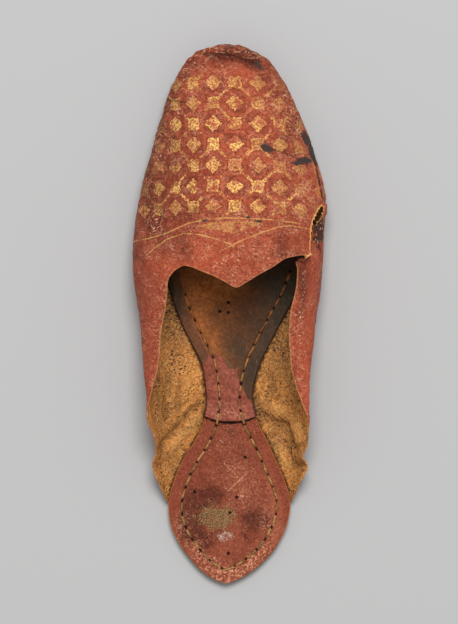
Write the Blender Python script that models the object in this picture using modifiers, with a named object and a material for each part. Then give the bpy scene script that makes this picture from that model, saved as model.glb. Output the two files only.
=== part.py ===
# Backless leather slipper, old and empty, standing on its sole.
# Metres, +Z up, the toe towards +Y, the torn side of the vamp towards +X.
# A station is a share of LENGTH, 0 at the heel tip and 1 at the toe tip.

import math

import bmesh
import bpy
import numpy as np
from mathutils import Vector

# Driving sizes
LENGTH = 0.250
BALL_WIDTH = 0.0894
INSTEP_HEIGHT = 0.045
TOE_SPRING = 0.005
WAIST_ARCH = 0.0015
UPPER_WALL = 0.0016
OUTSOLE_THICKNESS = 0.0030
FRONT_INSOLE_THICKNESS = 0.0012
HEEL_INSOLE_THICKNESS = 0.0014
INSOLE_OVERHANG = 0.0008
INSOLE_LAP = 0.0030
LAP_RAMP = 0.0060
TEAR_WIDTH = 0.0016
FEATHER_MARGIN = 0.0010
SEAT_GAP = 0.0003

# Places along the foot, as stations
HEEL_FLAT_END = 0.24
FOREFOOT_FLAT_START = 0.52
FOREFOOT_FLAT_END = 0.74
WAIST_SEAM = 0.300
TOE_CENTRE = 0.86
TOE_ROUNDING_START = 0.81

# Shape of the cross sections over the foot
CAP_SPREAD = 2.2
CAP_ROUNDNESS = 2.0
TOE_ROUNDNESS = 2.25
SKIVED_SHARE = 0.45
SKIVED_STRETCH = 0.045
TEAR_FLOOR = 0.40
TEAR_CEILING = 1.40
MARGIN_LIMIT = 0.35

# How finely the surfaces are divided
RIBBON_STEP = 0.0052
RIBBON_ROWS = 16
ROW_CROWDING = 1.25
PLATE_STEP = 0.0045
PLATE_COLUMNS = 3
PLATE_TIP_INSET = 0.0005
PLATE_TIP_CROWDING = 0.35


def table(columns, *rows):
    return dict(zip(columns.split(), np.array(rows, dtype=float).T))


# Seen from above: the upper's widest line, as shares of half the ball width
SILHOUETTE = table(
    "station left right",
    (0.150, 0.640, 0.645),
    (0.170, 0.695, 0.700),
    (0.200, 0.758, 0.762),
    (0.223, 0.794, 0.810),
    (0.235, 0.768, 0.760),
    (0.246, 0.758, 0.790),
    (0.258, 0.764, 0.825),
    (0.272, 0.783, 0.838),
    (0.290, 0.823, 0.842),
    (0.310, 0.853, 0.834),
    (0.345, 0.855, 0.832),
    (0.390, 0.880, 0.842),
    (0.450, 0.906, 0.879),
    (0.500, 0.932, 0.912),
    (0.550, 0.980, 0.955),
    (0.600, 1.000, 0.974),
    (0.650, 0.986, 0.985),
    (0.700, 0.946, 1.000),
    (0.750, 0.889, 0.966),
    (0.800, 0.806, 0.886),
    (0.850, 0.727, 0.785),
    (0.890, 0.660, 0.690),
    (0.920, 0.600, 0.605),
    (0.950, 0.515, 0.503),
    (0.970, 0.440, 0.418),
    (0.985, 0.345, 0.300),
    (0.996, 0.190, 0.160),
)
SILHOUETTE_TIP = (1.0, -0.015)

# The insoles' outer edge, wide under the forefoot and drop shaped under the heel
INSOLE_EDGE = table(
    "station left right",
    (0.008, 0.165, 0.105),
    (0.027, 0.310, 0.275),
    (0.047, 0.410, 0.396),
    (0.066, 0.490, 0.486),
    (0.085, 0.553, 0.545),
    (0.105, 0.600, 0.597),
    (0.127, 0.625, 0.627),
    (0.152, 0.628, 0.638),
    (0.191, 0.572, 0.578),
    (0.232, 0.470, 0.480),
    (0.268, 0.345, 0.390),
    (0.298, 0.270, 0.303),
    (0.330, 0.237, 0.253),
    (0.366, 0.246, 0.260),
    (0.407, 0.286, 0.325),
    (0.441, 0.378, 0.414),
    (0.481, 0.490, 0.530),
    (0.515, 0.566, 0.636),
    (0.550, 0.622, 0.725),
    (0.590, 0.710, 0.800),
    (0.640, 0.780, 0.850),
    (0.690, 0.800, 0.868),
    (0.750, 0.755, 0.830),
    (0.800, 0.690, 0.755),
    (0.850, 0.620, 0.668),
    (0.890, 0.555, 0.580),
    (0.920, 0.495, 0.495),
    (0.945, 0.415, 0.400),
    (0.965, 0.325, 0.300),
    (0.979, 0.195, 0.170),
)
INSOLE_HEEL_TIP = (0.0, -0.030)
INSOLE_TOE_TIP = (0.985, -0.015)

# Heights over the sole's underside, as shares of the instep height. The bulge is
# the height of the widest line, which is the collar itself behind the waist. The
# crest is where the section is highest, as a share of half the ball width.
HEIGHTS = table(
    "station bulge crown crest",
    (0.150, 0.090, 0.110, 0.00),
    (0.185, 0.200, 0.220, 0.00),
    (0.223, 0.310, 0.330, 0.00),
    (0.246, 0.350, 0.380, 0.00),
    (0.280, 0.460, 0.500, 0.00),
    (0.310, 0.550, 0.610, 0.00),
    (0.345, 0.565, 0.700, 0.00),
    (0.390, 0.490, 0.780, 0.00),
    (0.450, 0.400, 0.860, 0.02),
    (0.510, 0.345, 0.930, 0.05),
    (0.560, 0.310, 1.000, 0.08),
    (0.600, 0.295, 1.000, 0.10),
    (0.650, 0.280, 0.955, 0.13),
    (0.700, 0.265, 0.890, 0.15),
    (0.750, 0.250, 0.810, 0.16),
    (0.800, 0.235, 0.725, 0.15),
    (0.850, 0.220, 0.640, 0.12),
    (0.900, 0.205, 0.565, 0.08),
    (0.950, 0.190, 0.505, 0.03),
    (1.000, 0.180, 0.470, 0.00),
)

# The upper's free edge from the heel end of the left quarter to the vamp's point,
# and from the heel end of the right quarter to the same point. Each row is where
# the ribbon that leaves the widest line at "bulge" ends; lean is a share of the
# half width there, 1 on the widest line itself.
LEFT_EDGE = table(
    "bulge station lean",
    (0.158, 0.158, 1.000),
    (0.185, 0.185, 1.000),
    (0.223, 0.223, 1.000),
    (0.246, 0.246, 1.000),
    (0.275, 0.275, 1.000),
    (0.310, 0.310, 0.998),
    (0.330, 0.330, 0.985),
    (0.348, 0.346, 0.955),
    (0.368, 0.363, 0.917),
    (0.397, 0.390, 0.850),
    (0.425, 0.416, 0.815),
    (0.485, 0.470, 0.768),
    (0.527, 0.506, 0.708),
    (0.565, 0.535, 0.665),
    (0.605, 0.560, 0.640),
    (0.650, 0.576, 0.585),
    (0.700, 0.589, 0.480),
    (0.750, 0.588, 0.400),
    (0.820, 0.580, 0.285),
    (0.900, 0.570, 0.145),
    (0.970, 0.5585, 0.015),
)
RIGHT_EDGE = table(
    "bulge station lean",
    (0.158, 0.158, 1.000),
    (0.185, 0.185, 1.000),
    (0.223, 0.223, 1.000),
    (0.235, 0.235, 1.000),
    (0.250, 0.250, 1.000),
    (0.280, 0.280, 1.000),
    (0.302, 0.302, 0.990),
    (0.324, 0.322, 0.942),
    (0.356, 0.352, 0.875),
    (0.392, 0.385, 0.806),
    (0.435, 0.423, 0.745),
    (0.480, 0.461, 0.710),
    (0.530, 0.506, 0.705),
    (0.575, 0.546, 0.738),
    (0.620, 0.585, 0.742),
    (0.665, 0.604, 0.725),
    (0.720, 0.606, 0.670),
    (0.760, 0.602, 0.600),
    (0.820, 0.588, 0.483),
    (0.890, 0.574, 0.341),
    (0.965, 0.559, 0.200),
)
EDGE_TIP = (0.5493, 0.087)

# The tear along the right of the vamp, from the throat's corner to its blind end,
# with the width of the opening as a share of TEAR_WIDTH
TEAR = table(
    "station lean width",
    (0.585, 0.700, 1.00),
    (0.604, 0.760, 1.00),
    (0.613, 0.862, 1.00),
    (0.635, 0.874, 1.00),
    (0.660, 0.884, 1.20),
    (0.680, 0.915, 1.70),
    (0.692, 0.950, 1.60),
    (0.700, 0.965, 0.40),
)


def smooth(keys, values, at):
    """Cubic curve through the rows, with each slope taken from its neighbours."""
    keys = np.asarray(keys, dtype=float)
    values = np.asarray(values, dtype=float)
    slopes = np.gradient(values, keys, axis=0)
    at = np.clip(at, keys[0], keys[-1])
    i = np.clip(np.searchsorted(keys, at, side="right") - 1, 0, len(keys) - 2)
    span = keys[i + 1] - keys[i]
    t = (at - keys[i]) / span
    if values.ndim == 2:
        t, span = t[:, None], span[:, None]
    near = (1 + 2 * t) * (1 - t) ** 2 * values[i] + t * (1 - t) ** 2 * span * slopes[i]
    far = t ** 2 * (3 - 2 * t) * values[i + 1] - t ** 2 * (1 - t) * span * slopes[i + 1]
    return near + far


def path_lengths(points):
    steps = np.linalg.norm(np.diff(points, axis=0), axis=1)
    return np.concatenate([[0.0], np.cumsum(steps)])


def plan_point(station, across):
    """Plan position in metres of a station and a share of half the ball width."""
    return np.array([across * BALL_WIDTH / 2, (station - 0.5) * LENGTH])


def outline_path(outline, toe_tip, heel_tip=None, steps=12):
    """Curve up the left side, round the toe and down the right side, closed where a heel tip is given."""
    rows = list(zip(outline["station"], outline["left"], outline["right"]))
    points = [plan_point(station, -left) for station, left, right in rows]
    points.append(plan_point(*toe_tip))
    points += [plan_point(station, right) for station, left, right in reversed(rows)]
    first, last = 0, len(points) - 1
    if heel_tip is not None:
        tip = plan_point(*heel_tip)
        points = [points[-1], tip] + points + [tip, points[0]]
        first, last = 1, len(points) - 2
    points = np.array(points)
    lengths = path_lengths(points)
    places = np.arange(first * steps, last * steps + 1) / steps
    return smooth(lengths, points, np.interp(places, np.arange(len(points)), lengths))


def moved_outwards(path, distance):
    """The path shifted sideways, away from the foot, by a distance."""
    along = np.gradient(path, axis=0)
    if np.allclose(path[0], path[-1]):
        along[0] = along[-1] = path[1] - path[-2]
    along /= np.linalg.norm(along, axis=1)[:, None]
    outwards = np.stack([-along[:, 1], along[:, 0]], axis=1)
    return path + outwards * distance


def sides(path):
    """Left and right X of a path as tables over Y."""
    top = int(np.argmax(path[:, 1]))
    left, right = path[:top + 1], path[top:][::-1]
    return left, right


def edges_at(path, y):
    left, right = sides(path)
    return np.interp(y, left[:, 1], left[:, 0]), np.interp(y, right[:, 1], right[:, 0])


silhouette = outline_path(SILHOUETTE, SILHOUETTE_TIP)
insole_edge = outline_path(INSOLE_EDGE, INSOLE_TOE_TIP, INSOLE_HEEL_TIP)
outsole_edge = moved_outwards(insole_edge, -INSOLE_OVERHANG)
feather_edge = moved_outwards(insole_edge, SEAT_GAP - INSOLE_OVERHANG)


def sole_lift(station):
    """Height of the sole's underside: flat at heel and forefoot, arched between, sprung at the toe."""
    waist = np.clip((station - HEEL_FLAT_END) / (FOREFOOT_FLAT_START - HEEL_FLAT_END), 0, 1)
    toe = np.clip((station - FOREFOOT_FLAT_END) / (1 - FOREFOOT_FLAT_END), 0, 1)
    return WAIST_ARCH * np.sin(math.pi * waist) ** 2 + TOE_SPRING * toe ** 2


def station_of(y):
    return y / LENGTH + 0.5


def section_at(y, column):
    return smooth(HEIGHTS["station"], HEIGHTS[column], station_of(y))


def bulge_height(y):
    return sole_lift(station_of(y)) + section_at(y, "bulge") * INSTEP_HEIGHT


def cap_height(x, y):
    """Height of the upper over any plan point inside its widest line."""
    left, right = edges_at(silhouette, y)
    crest = np.clip(section_at(y, "crest") * BALL_WIDTH / 2, left, right)
    reach = np.where(x < crest, crest - left, right - crest)
    lean = np.clip(np.abs(x - crest) / np.maximum(reach, 1e-6), 0, 1)
    rise = (section_at(y, "crown") - section_at(y, "bulge")) * INSTEP_HEIGHT
    toe = np.clip((station_of(y) - TOE_ROUNDING_START) / (1 - TOE_ROUNDING_START), 0, 1)
    rise = rise * (1 - toe ** TOE_ROUNDNESS) ** (1 / TOE_ROUNDNESS)
    return bulge_height(y) + rise * (1 - lean ** CAP_SPREAD) ** (1 / CAP_ROUNDNESS)


def ribbon_key(path):
    """A value that grows along a path: Y up the left, the turn round the toe, Y down the right."""
    centre = plan_point(TOE_CENTRE, 0)
    away = path - centre
    turn = np.arctan2(away[:, 1], -away[:, 0])
    reach = BALL_WIDTH / 2
    past_toe = np.arange(len(path)) > np.argmax(path[:, 1])
    side = np.where(past_toe, math.pi * reach - away[:, 1], away[:, 1])
    return np.where(away[:, 1] > 0, turn * reach, side)


def place_on(path, key):
    keys = ribbon_key(path)
    return np.stack([np.interp(key, keys, path[:, 0]), np.interp(key, keys, path[:, 1])], axis=1)


def free_edge():
    """The free edge's plan points in order, each with its place along the widest line."""
    lengths = path_lengths(silhouette)
    top = int(np.argmax(silhouette[:, 1]))
    points, places = [], []
    for edge, part, sign in ((LEFT_EDGE, slice(0, top + 1), -1), (RIGHT_EDGE, slice(top, None), 1)):
        side_y, side_at = silhouette[part, 1], lengths[part]
        if sign > 0:
            side_y, side_at = side_y[::-1], side_at[::-1]
        y = (edge["station"] - 0.5) * LENGTH
        left, right = edges_at(silhouette, y)
        x = (left + right) / 2 + sign * edge["lean"] * (right - left) / 2
        at = np.interp((edge["bulge"] - 0.5) * LENGTH, side_y, side_at)
        order = slice(None) if sign < 0 else slice(None, None, -1)
        points.append(np.stack([x, y], axis=1)[order])
        places.append(at[order])
    tip_y = (EDGE_TIP[0] - 0.5) * LENGTH
    left, right = edges_at(silhouette, tip_y)
    tip = np.array([[(left + right) / 2 + EDGE_TIP[1] * (right - left) / 2, tip_y]])
    return np.vstack([points[0], tip, points[1]]), np.concatenate([places[0], [lengths[top]], places[1]])


def ribbon(feather, bulge, edge, steps=24):
    """Dense profile from the sewn margin out to the bulge and over to the free edge."""
    t = np.linspace(0, math.pi / 2, steps)
    away = bulge - feather
    reach = np.linalg.norm(away)
    margin = feather + away * min(FEATHER_MARGIN / reach, MARGIN_LIMIT)
    foot = OUTSOLE_THICKNESS - UPPER_WALL - SEAT_GAP + sole_lift(station_of(feather[1]))
    lower = margin + (bulge - margin) * np.sin(t)[:, None]
    lower_z = foot + (bulge_height(bulge[1]) - foot) * (1 - np.cos(t))
    upper = bulge + (edge - bulge) * (1 - np.cos(t[1:]))[:, None]
    upper_z = cap_height(upper[:, 0], upper[:, 1])
    plan = np.vstack([lower, upper])
    return np.array([*feather, foot]), np.column_stack([plan, np.concatenate([lower_z, upper_z])])


def resampled(profile, shares):
    lengths = path_lengths(profile)
    at = shares * lengths[-1]
    return np.column_stack([np.interp(at, lengths, profile[:, k]) for k in range(3)])


def upper_grid():
    """Ribbons of points side by side, from the left quarter's end round the toe to the right one's."""
    edge_points, places = free_edge()
    counts = np.maximum(np.ceil(np.diff(places) / RIBBON_STEP).astype(int), 1)
    at = np.concatenate([np.linspace(a, b, n, endpoint=False)
                         for a, b, n in zip(places, places[1:], counts)] + [places[-1:]])
    lengths = path_lengths(silhouette)
    bulge = np.column_stack([np.interp(at, lengths, silhouette[:, k]) for k in range(2)])
    edge = smooth(places, edge_points, at)
    feather = place_on(feather_edge, ribbon_key(bulge))
    shares = np.linspace(0, 1, RIBBON_ROWS) ** ROW_CROWDING
    grid = []
    for ends in zip(feather, bulge, edge):
        start, profile = ribbon(*ends)
        grid.append(np.vstack([start, resampled(profile, shares)]))
    return np.array(grid), at - at[0]


def grid_mesh(name, grid):
    """One open surface of quads from a grid of points."""
    rows, columns = grid.shape[:2]
    faces = [(i * columns + j, (i + 1) * columns + j, (i + 1) * columns + j + 1, i * columns + j + 1)
             for i in range(rows - 1) for j in range(columns - 1)]
    mesh = bpy.data.meshes.new(name)
    mesh.from_pydata(grid.reshape(-1, 3).tolist(), [], faces)
    mesh.update()
    return mesh


def leather(name, colour, roughness):
    material = bpy.data.materials.new(name)
    material.use_nodes = True
    shader = material.node_tree.nodes["Principled BSDF"]
    shader.inputs["Base Color"].default_value = (*colour, 1)
    shader.inputs["Roughness"].default_value = roughness
    shader.inputs["Metallic"].default_value = 0.0
    return material


def add_object(name, mesh, collection, parent, material):
    part = bpy.data.objects.new(name, mesh)
    collection.objects.link(part)
    part.parent = parent
    mesh.materials.append(material)
    mesh.shade_smooth()
    return part


def thicken(part, thickness, offset):
    wall = part.modifiers.new("wall", "SOLIDIFY")
    wall.thickness = thickness
    wall.offset = offset
    wall.use_quality_normals = True
    return wall


def plate(name, edge, start, end, underside, thickness, *placing):
    """A flat leather piece that follows the sole between two stations of an outline."""
    first = max(start, station_of(edge[:, 1].min()) + PLATE_TIP_INSET)
    last = min(end, station_of(edge[:, 1].max()) - PLATE_TIP_INSET)
    rows = math.ceil((last - first) * LENGTH / PLATE_STEP) + 1
    even = np.linspace(0, 1, rows)
    crowded = (1 - np.cos(math.pi * even)) / 2
    share = even + (crowded - even) * PLATE_TIP_CROWDING
    station = first + (last - first) * share
    y = (station - 0.5) * LENGTH
    left, right = edges_at(edge, y)
    across = np.linspace(0, 1, PLATE_COLUMNS + 1)
    x = left[:, None] + (right - left)[:, None] * across
    z = np.broadcast_to((sole_lift(station) + underside(station))[:, None], x.shape)
    grid = np.stack([x, np.broadcast_to(y[:, None], x.shape), z], axis=2)
    part = add_object(name, grid_mesh(name, grid[:, ::-1]), *placing)
    thicken(part, thickness, 1)
    return part


def front_insole_underside(station):
    """Flat on the outsole, then up a short ramp onto the heel insole's front end."""
    lap_start = WAIST_SEAM + INSOLE_LAP / LENGTH
    ramp = np.clip((lap_start + LAP_RAMP / LENGTH - station) * LENGTH / LAP_RAMP, 0, 1)
    step = HEEL_INSOLE_THICKNESS + SEAT_GAP
    return OUTSOLE_THICKNESS + SEAT_GAP + step * ramp * ramp * (3 - 2 * ramp)


def add_upper(collection, parent, material):
    """The upper as one wall, skived thin at the heel ends of its quarters."""
    grid, along = upper_grid()
    part = add_object("upper", grid_mesh("upper", grid[:, ::-1]), collection, parent, material)
    wall = thicken(part, UPPER_WALL, -1)
    group = part.vertex_groups.new(name="thickness")
    from_end = np.minimum(along, along[-1] - along)
    share = np.clip(from_end / (SKIVED_STRETCH * LENGTH), 0, 1)
    weights = SKIVED_SHARE + (1 - SKIVED_SHARE) * share
    for i, weight in enumerate(weights):
        group.add(range(i * grid.shape[1], (i + 1) * grid.shape[1]), float(weight), "REPLACE")
    wall.vertex_group = group.name
    return part


def tear_cutter(collection, parent):
    """An upright blade as wide as the tear, over the height of the vamp's side only."""
    y = (TEAR["station"] - 0.5) * LENGTH
    left, right = edges_at(silhouette, y)
    line = np.stack([(left + right) / 2 + TEAR["lean"] * (right - left) / 2, y], axis=1)
    half = np.stack([TEAR["width"], TEAR["width"]], axis=1) * TEAR_WIDTH / 2
    along = np.gradient(line, axis=0)
    along /= np.linalg.norm(along, axis=1)[:, None]
    normal = np.stack([-along[:, 1], along[:, 0]], axis=1)
    ring = np.vstack([line + normal * half, (line - normal * half)[::-1]])
    mesh = bpy.data.meshes.new("tear_cutter")
    bm = bmesh.new()
    floor = [bm.verts.new((x, y, TEAR_FLOOR * INSTEP_HEIGHT)) for x, y in ring]
    face = bm.faces.new(floor)
    lifted = bmesh.ops.extrude_face_region(bm, geom=[face])
    rise = Vector((0, 0, (TEAR_CEILING - TEAR_FLOOR) * INSTEP_HEIGHT))
    bmesh.ops.translate(bm, verts=[v for v in lifted["geom"] if isinstance(v, bmesh.types.BMVert)], vec=rise)
    bmesh.ops.recalc_face_normals(bm, faces=bm.faces)
    bm.to_mesh(mesh)
    bm.free()
    cutter = bpy.data.objects.new("tear_cutter", mesh)
    collection.objects.link(cutter)
    cutter.parent = parent
    cutter.display_type = "WIRE"
    cutter.hide_render = True
    return cutter


def cut(part, cutter):
    boolean = part.modifiers.new("tear", "BOOLEAN")
    boolean.operation = "DIFFERENCE"
    boolean.solver = "EXACT"
    boolean.object = cutter


def stand_on_origin(parent, parts):
    """Moves the whole slipper so that the middle of its box's underside is the origin."""
    bpy.context.view_layer.update()
    graph = bpy.context.evaluated_depsgraph_get()
    corners = []
    for part in parts:
        mesh = part.evaluated_get(graph).data
        co = np.empty(len(mesh.vertices) * 3)
        mesh.vertices.foreach_get("co", co)
        corners.append(co.reshape(-1, 3))
    corners = np.vstack(corners)
    low, high = corners.min(axis=0), corners.max(axis=0)
    parent.location = (-(low[0] + high[0]) / 2, -(low[1] + high[1]) / 2, -low[2])
    bpy.context.view_layer.update()


def main():
    for thing in list(bpy.data.objects):
        bpy.data.objects.remove(thing, do_unlink=True)
    slipper = bpy.data.collections.new("leather_slipper")
    cutters = bpy.data.collections.new("cutters")
    bpy.context.scene.collection.children.link(slipper)
    bpy.context.scene.collection.children.link(cutters)
    root = bpy.data.objects.new("slipper", None)
    slipper.objects.link(root)

    red_goatskin = leather("red_goatskin", (0.34, 0.095, 0.045), 0.55)
    sole_leather = leather("sole_leather", (0.22, 0.12, 0.06), 0.75)
    brown_leather = leather("brown_leather", (0.105, 0.045, 0.022), 0.6)
    worn_red_leather = leather("worn_red_leather", (0.24, 0.075, 0.045), 0.7)

    outsole = plate("outsole", outsole_edge, 0.0, 1.0, lambda station: 0 * station,
                    OUTSOLE_THICKNESS, slipper, root, sole_leather)
    heel_insole = plate("insole_heel", insole_edge, 0.0, WAIST_SEAM + INSOLE_LAP / LENGTH,
                        lambda station: OUTSOLE_THICKNESS + SEAT_GAP + 0 * station,
                        HEEL_INSOLE_THICKNESS, slipper, root, worn_red_leather)
    front_insole = plate("insole_front", insole_edge, WAIST_SEAM, 1.0, front_insole_underside,
                         FRONT_INSOLE_THICKNESS, slipper, root, brown_leather)
    upper = add_upper(slipper, root, red_goatskin)
    cut(upper, tear_cutter(cutters, root))
    stand_on_origin(root, (outsole, heel_insole, front_insole, upper))


main()
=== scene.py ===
# Old backless leather slipper: goatskin upper, thin insoles with a running seam, leather sole.
# Metres, +Z up, the toe towards +Y. A station is a share of the length, 0 at the heel tip.
import math
from functools import partial

import bmesh
import bpy
import numpy as np
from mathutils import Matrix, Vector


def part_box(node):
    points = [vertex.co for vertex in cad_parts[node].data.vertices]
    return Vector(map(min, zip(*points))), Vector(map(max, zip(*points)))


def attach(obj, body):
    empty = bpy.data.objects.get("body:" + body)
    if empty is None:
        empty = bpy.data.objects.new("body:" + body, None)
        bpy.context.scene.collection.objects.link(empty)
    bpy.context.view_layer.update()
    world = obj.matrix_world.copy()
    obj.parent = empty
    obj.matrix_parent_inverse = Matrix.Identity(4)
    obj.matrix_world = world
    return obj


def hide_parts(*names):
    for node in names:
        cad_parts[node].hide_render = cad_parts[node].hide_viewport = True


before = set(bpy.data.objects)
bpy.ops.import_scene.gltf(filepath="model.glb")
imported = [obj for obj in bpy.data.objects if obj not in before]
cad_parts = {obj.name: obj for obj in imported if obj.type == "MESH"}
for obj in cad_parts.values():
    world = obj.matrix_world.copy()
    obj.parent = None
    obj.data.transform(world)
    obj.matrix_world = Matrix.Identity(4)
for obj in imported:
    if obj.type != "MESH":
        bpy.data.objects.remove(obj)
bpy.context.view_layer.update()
mm = 0.001


def chart(columns, *rows):
    return dict(zip(columns.split(), np.array(rows, dtype=float).T))


# The shoe's own sizes, as the solids have them
shoe = dict(
    length=0.250, ballWidth=0.0894, instepHeight=0.045, toeSpring=0.005, waistArch=0.0015,
    upperWall=0.0016, outsoleThickness=0.0030, frontInsoleThickness=0.0012,
    heelInsoleThickness=0.0014, insoleOverhang=0.0008, insoleLap=0.0030, lapRamp=0.0060, lapBow=0.0030,
    tearWidth=0.0013, featherMargin=0.0010, marginLimit=0.35, seatGap=0.0003,
    heelFlatEnd=0.24, forefootFlatStart=0.52, forefootFlatEnd=0.74, waistSeam=0.300,
    toeCentre=0.86, toeRoundingStart=0.81, capSpread=2.2, capRoundness=2.0, toeRoundness=2.25,
    skivedShare=0.45, skivedStretch=0.045, toplineShare=0.45)
length, halfWidth = shoe["length"], shoe["ballWidth"] / 2

# Seen from above: the upper's widest line, as shares of half the ball width
silhouetteChart = chart(
    "station left right",
    (0.15, 0.64, 0.645), (0.17, 0.695, 0.7), (0.2, 0.758, 0.762), (0.223, 0.794, 0.81),
    (0.235, 0.768, 0.76), (0.246, 0.758, 0.79), (0.258, 0.764, 0.825), (0.272, 0.783, 0.838),
    (0.29, 0.823, 0.842), (0.31, 0.853, 0.834), (0.345, 0.855, 0.832), (0.39, 0.88, 0.842),
    (0.45, 0.906, 0.879), (0.5, 0.932, 0.912), (0.55, 0.98, 0.955), (0.6, 1.0, 0.974),
    (0.65, 0.986, 0.985), (0.7, 0.946, 1.0), (0.75, 0.889, 0.966), (0.8, 0.806, 0.886),
    (0.85, 0.727, 0.785), (0.89, 0.66, 0.69), (0.92, 0.6, 0.605), (0.95, 0.515, 0.503),
    (0.97, 0.44, 0.418), (0.985, 0.345, 0.3), (0.996, 0.19, 0.16))

# The insoles' outer edge, wide under the forefoot and drop shaped under the heel
insoleChart = chart(
    "station left right",
    (0.008, 0.165, 0.105), (0.027, 0.31, 0.275), (0.047, 0.41, 0.396), (0.066, 0.49, 0.486),
    (0.085, 0.553, 0.545), (0.105, 0.6, 0.597), (0.127, 0.625, 0.627), (0.152, 0.628, 0.638),
    (0.191, 0.572, 0.578), (0.232, 0.47, 0.48), (0.268, 0.345, 0.39), (0.298, 0.27, 0.303),
    (0.33, 0.237, 0.253), (0.366, 0.246, 0.26), (0.407, 0.286, 0.325), (0.441, 0.378, 0.414),
    (0.481, 0.49, 0.53), (0.515, 0.566, 0.636), (0.55, 0.622, 0.725), (0.59, 0.71, 0.8),
    (0.64, 0.78, 0.85), (0.69, 0.8, 0.868), (0.75, 0.755, 0.83), (0.8, 0.69, 0.755), (0.85, 0.62, 0.668),
    (0.89, 0.555, 0.58), (0.92, 0.495, 0.495), (0.945, 0.415, 0.4), (0.965, 0.325, 0.3),
    (0.979, 0.195, 0.17))

# Heights over the sole as shares of the instep height; the crest as a share of half the width
heightChart = chart(
    "station bulge crown crest",
    (0.15, 0.09, 0.11, 0.0), (0.185, 0.2, 0.22, 0.0), (0.223, 0.31, 0.33, 0.0),
    (0.246, 0.35, 0.38, 0.0), (0.28, 0.46, 0.5, 0.0), (0.31, 0.55, 0.61, 0.0),
    (0.345, 0.565, 0.7, 0.0), (0.39, 0.49, 0.78, 0.0), (0.45, 0.4, 0.86, 0.02),
    (0.51, 0.345, 0.93, 0.05), (0.56, 0.31, 1.0, 0.08), (0.6, 0.295, 1.0, 0.1),
    (0.65, 0.28, 0.955, 0.13), (0.7, 0.265, 0.89, 0.15), (0.75, 0.25, 0.81, 0.16),
    (0.8, 0.235, 0.725, 0.15), (0.85, 0.22, 0.64, 0.12), (0.9, 0.205, 0.565, 0.08),
    (0.95, 0.19, 0.505, 0.03), (1.0, 0.18, 0.47, 0.0))

# Where the ribbon that leaves the widest line at bulge ends on the free edge
leftEdge = chart(
    "bulge station lean",
    (0.151, 0.151, 1.0), (0.165, 0.165, 1.0), (0.185, 0.185, 1.0), (0.223, 0.223, 1.0), (0.246, 0.246, 1.0),
    (0.275, 0.275, 1.0), (0.31, 0.31, 0.998), (0.33, 0.33, 0.985), (0.348, 0.346, 0.955),
    (0.368, 0.363, 0.917), (0.397, 0.39, 0.85), (0.425, 0.416, 0.815), (0.485, 0.47, 0.768),
    (0.527, 0.506, 0.708), (0.565, 0.535, 0.665), (0.605, 0.56, 0.64), (0.65, 0.576, 0.585),
    (0.7, 0.589, 0.48), (0.75, 0.588, 0.4), (0.82, 0.58, 0.285), (0.9, 0.57, 0.145),
    (0.97, 0.5585, 0.015))

rightEdge = chart(
    "bulge station lean",
    (0.151, 0.151, 1.0), (0.165, 0.165, 1.0), (0.185, 0.185, 1.0), (0.223, 0.223, 1.0), (0.235, 0.235, 1.0),
    (0.25, 0.25, 1.0), (0.28, 0.28, 1.0), (0.302, 0.302, 0.99), (0.324, 0.322, 0.942),
    (0.356, 0.352, 0.875), (0.392, 0.385, 0.806), (0.435, 0.423, 0.745), (0.48, 0.461, 0.71),
    (0.53, 0.506, 0.705), (0.575, 0.546, 0.738), (0.62, 0.585, 0.742), (0.665, 0.604, 0.725),
    (0.72, 0.606, 0.67), (0.76, 0.602, 0.6), (0.82, 0.588, 0.483), (0.89, 0.574, 0.341),
    (0.965, 0.559, 0.2))

# The tear along the right of the vamp, from the throat's corner to its blind end
tearChart = chart(
    "station lean width",
    (0.585, 0.7, 1.0), (0.604, 0.76, 1.0), (0.613, 0.862, 1.0), (0.635, 0.874, 1.0),
    (0.66, 0.884, 1.20), (0.68, 0.915, 1.70), (0.692, 0.95, 1.60), (0.7, 0.965, 0.4))

silhouetteTip, insoleHeelTip, insoleToeTip = (1.0, -0.015), (0.0, -0.030), (0.985, -0.015)
edgeTip = (0.5493, 0.087)


def smooth(keys, values, at):  # cubic curve through the rows, each slope taken from its neighbours
    keys, values = np.asarray(keys, dtype=float), np.asarray(values, dtype=float)
    slopes = np.gradient(values, keys, axis=0)
    at = np.clip(at, keys[0], keys[-1])
    i = np.clip(np.searchsorted(keys, at, side="right") - 1, 0, len(keys) - 2)
    span = keys[i + 1] - keys[i]
    t = (at - keys[i]) / span
    if values.ndim == 2:
        t, span = t[:, None], span[:, None]
    near = (1 + 2 * t) * (1 - t) ** 2 * values[i] + t * (1 - t) ** 2 * span * slopes[i]
    far = t ** 2 * (3 - 2 * t) * values[i + 1] - t ** 2 * (1 - t) * span * slopes[i + 1]
    return near + far


def ease(value, low, high):  # 0 at low, 1 at high, soft at both ends
    t = np.clip((value - low) / (high - low), 0, 1)
    return t * t * (3 - 2 * t)


def valuesAt(at, keys, rows):  # every column of the rows, read between its keys
    return np.column_stack([np.interp(at, keys, column) for column in rows.T])


def pathLengths(points):
    steps = np.linalg.norm(np.diff(points, axis=0), axis=1)
    return np.concatenate([[0.0], np.cumsum(steps)])


def planPoint(station, across):
    return np.array([across * halfWidth, (station - 0.5) * length])


def outlinePath(outline, toeTip, heelTip=None, steps=12):  # up the left, round the toe, down the right
    rows = list(zip(outline["station"], outline["left"], outline["right"]))
    points = [planPoint(station, -left) for station, left, right in rows]
    points.append(planPoint(*toeTip))
    points += [planPoint(station, right) for station, left, right in reversed(rows)]
    first, last = 0, len(points) - 1
    if heelTip is not None:
        tip = planPoint(*heelTip)
        points = [points[-1], tip] + points + [tip, points[0]]
        first, last = 1, len(points) - 2
    points = np.array(points)
    lengths = pathLengths(points)
    places = np.arange(first * steps, last * steps + 1) / steps
    return smooth(lengths, points, np.interp(places, np.arange(len(points)), lengths))


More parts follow.
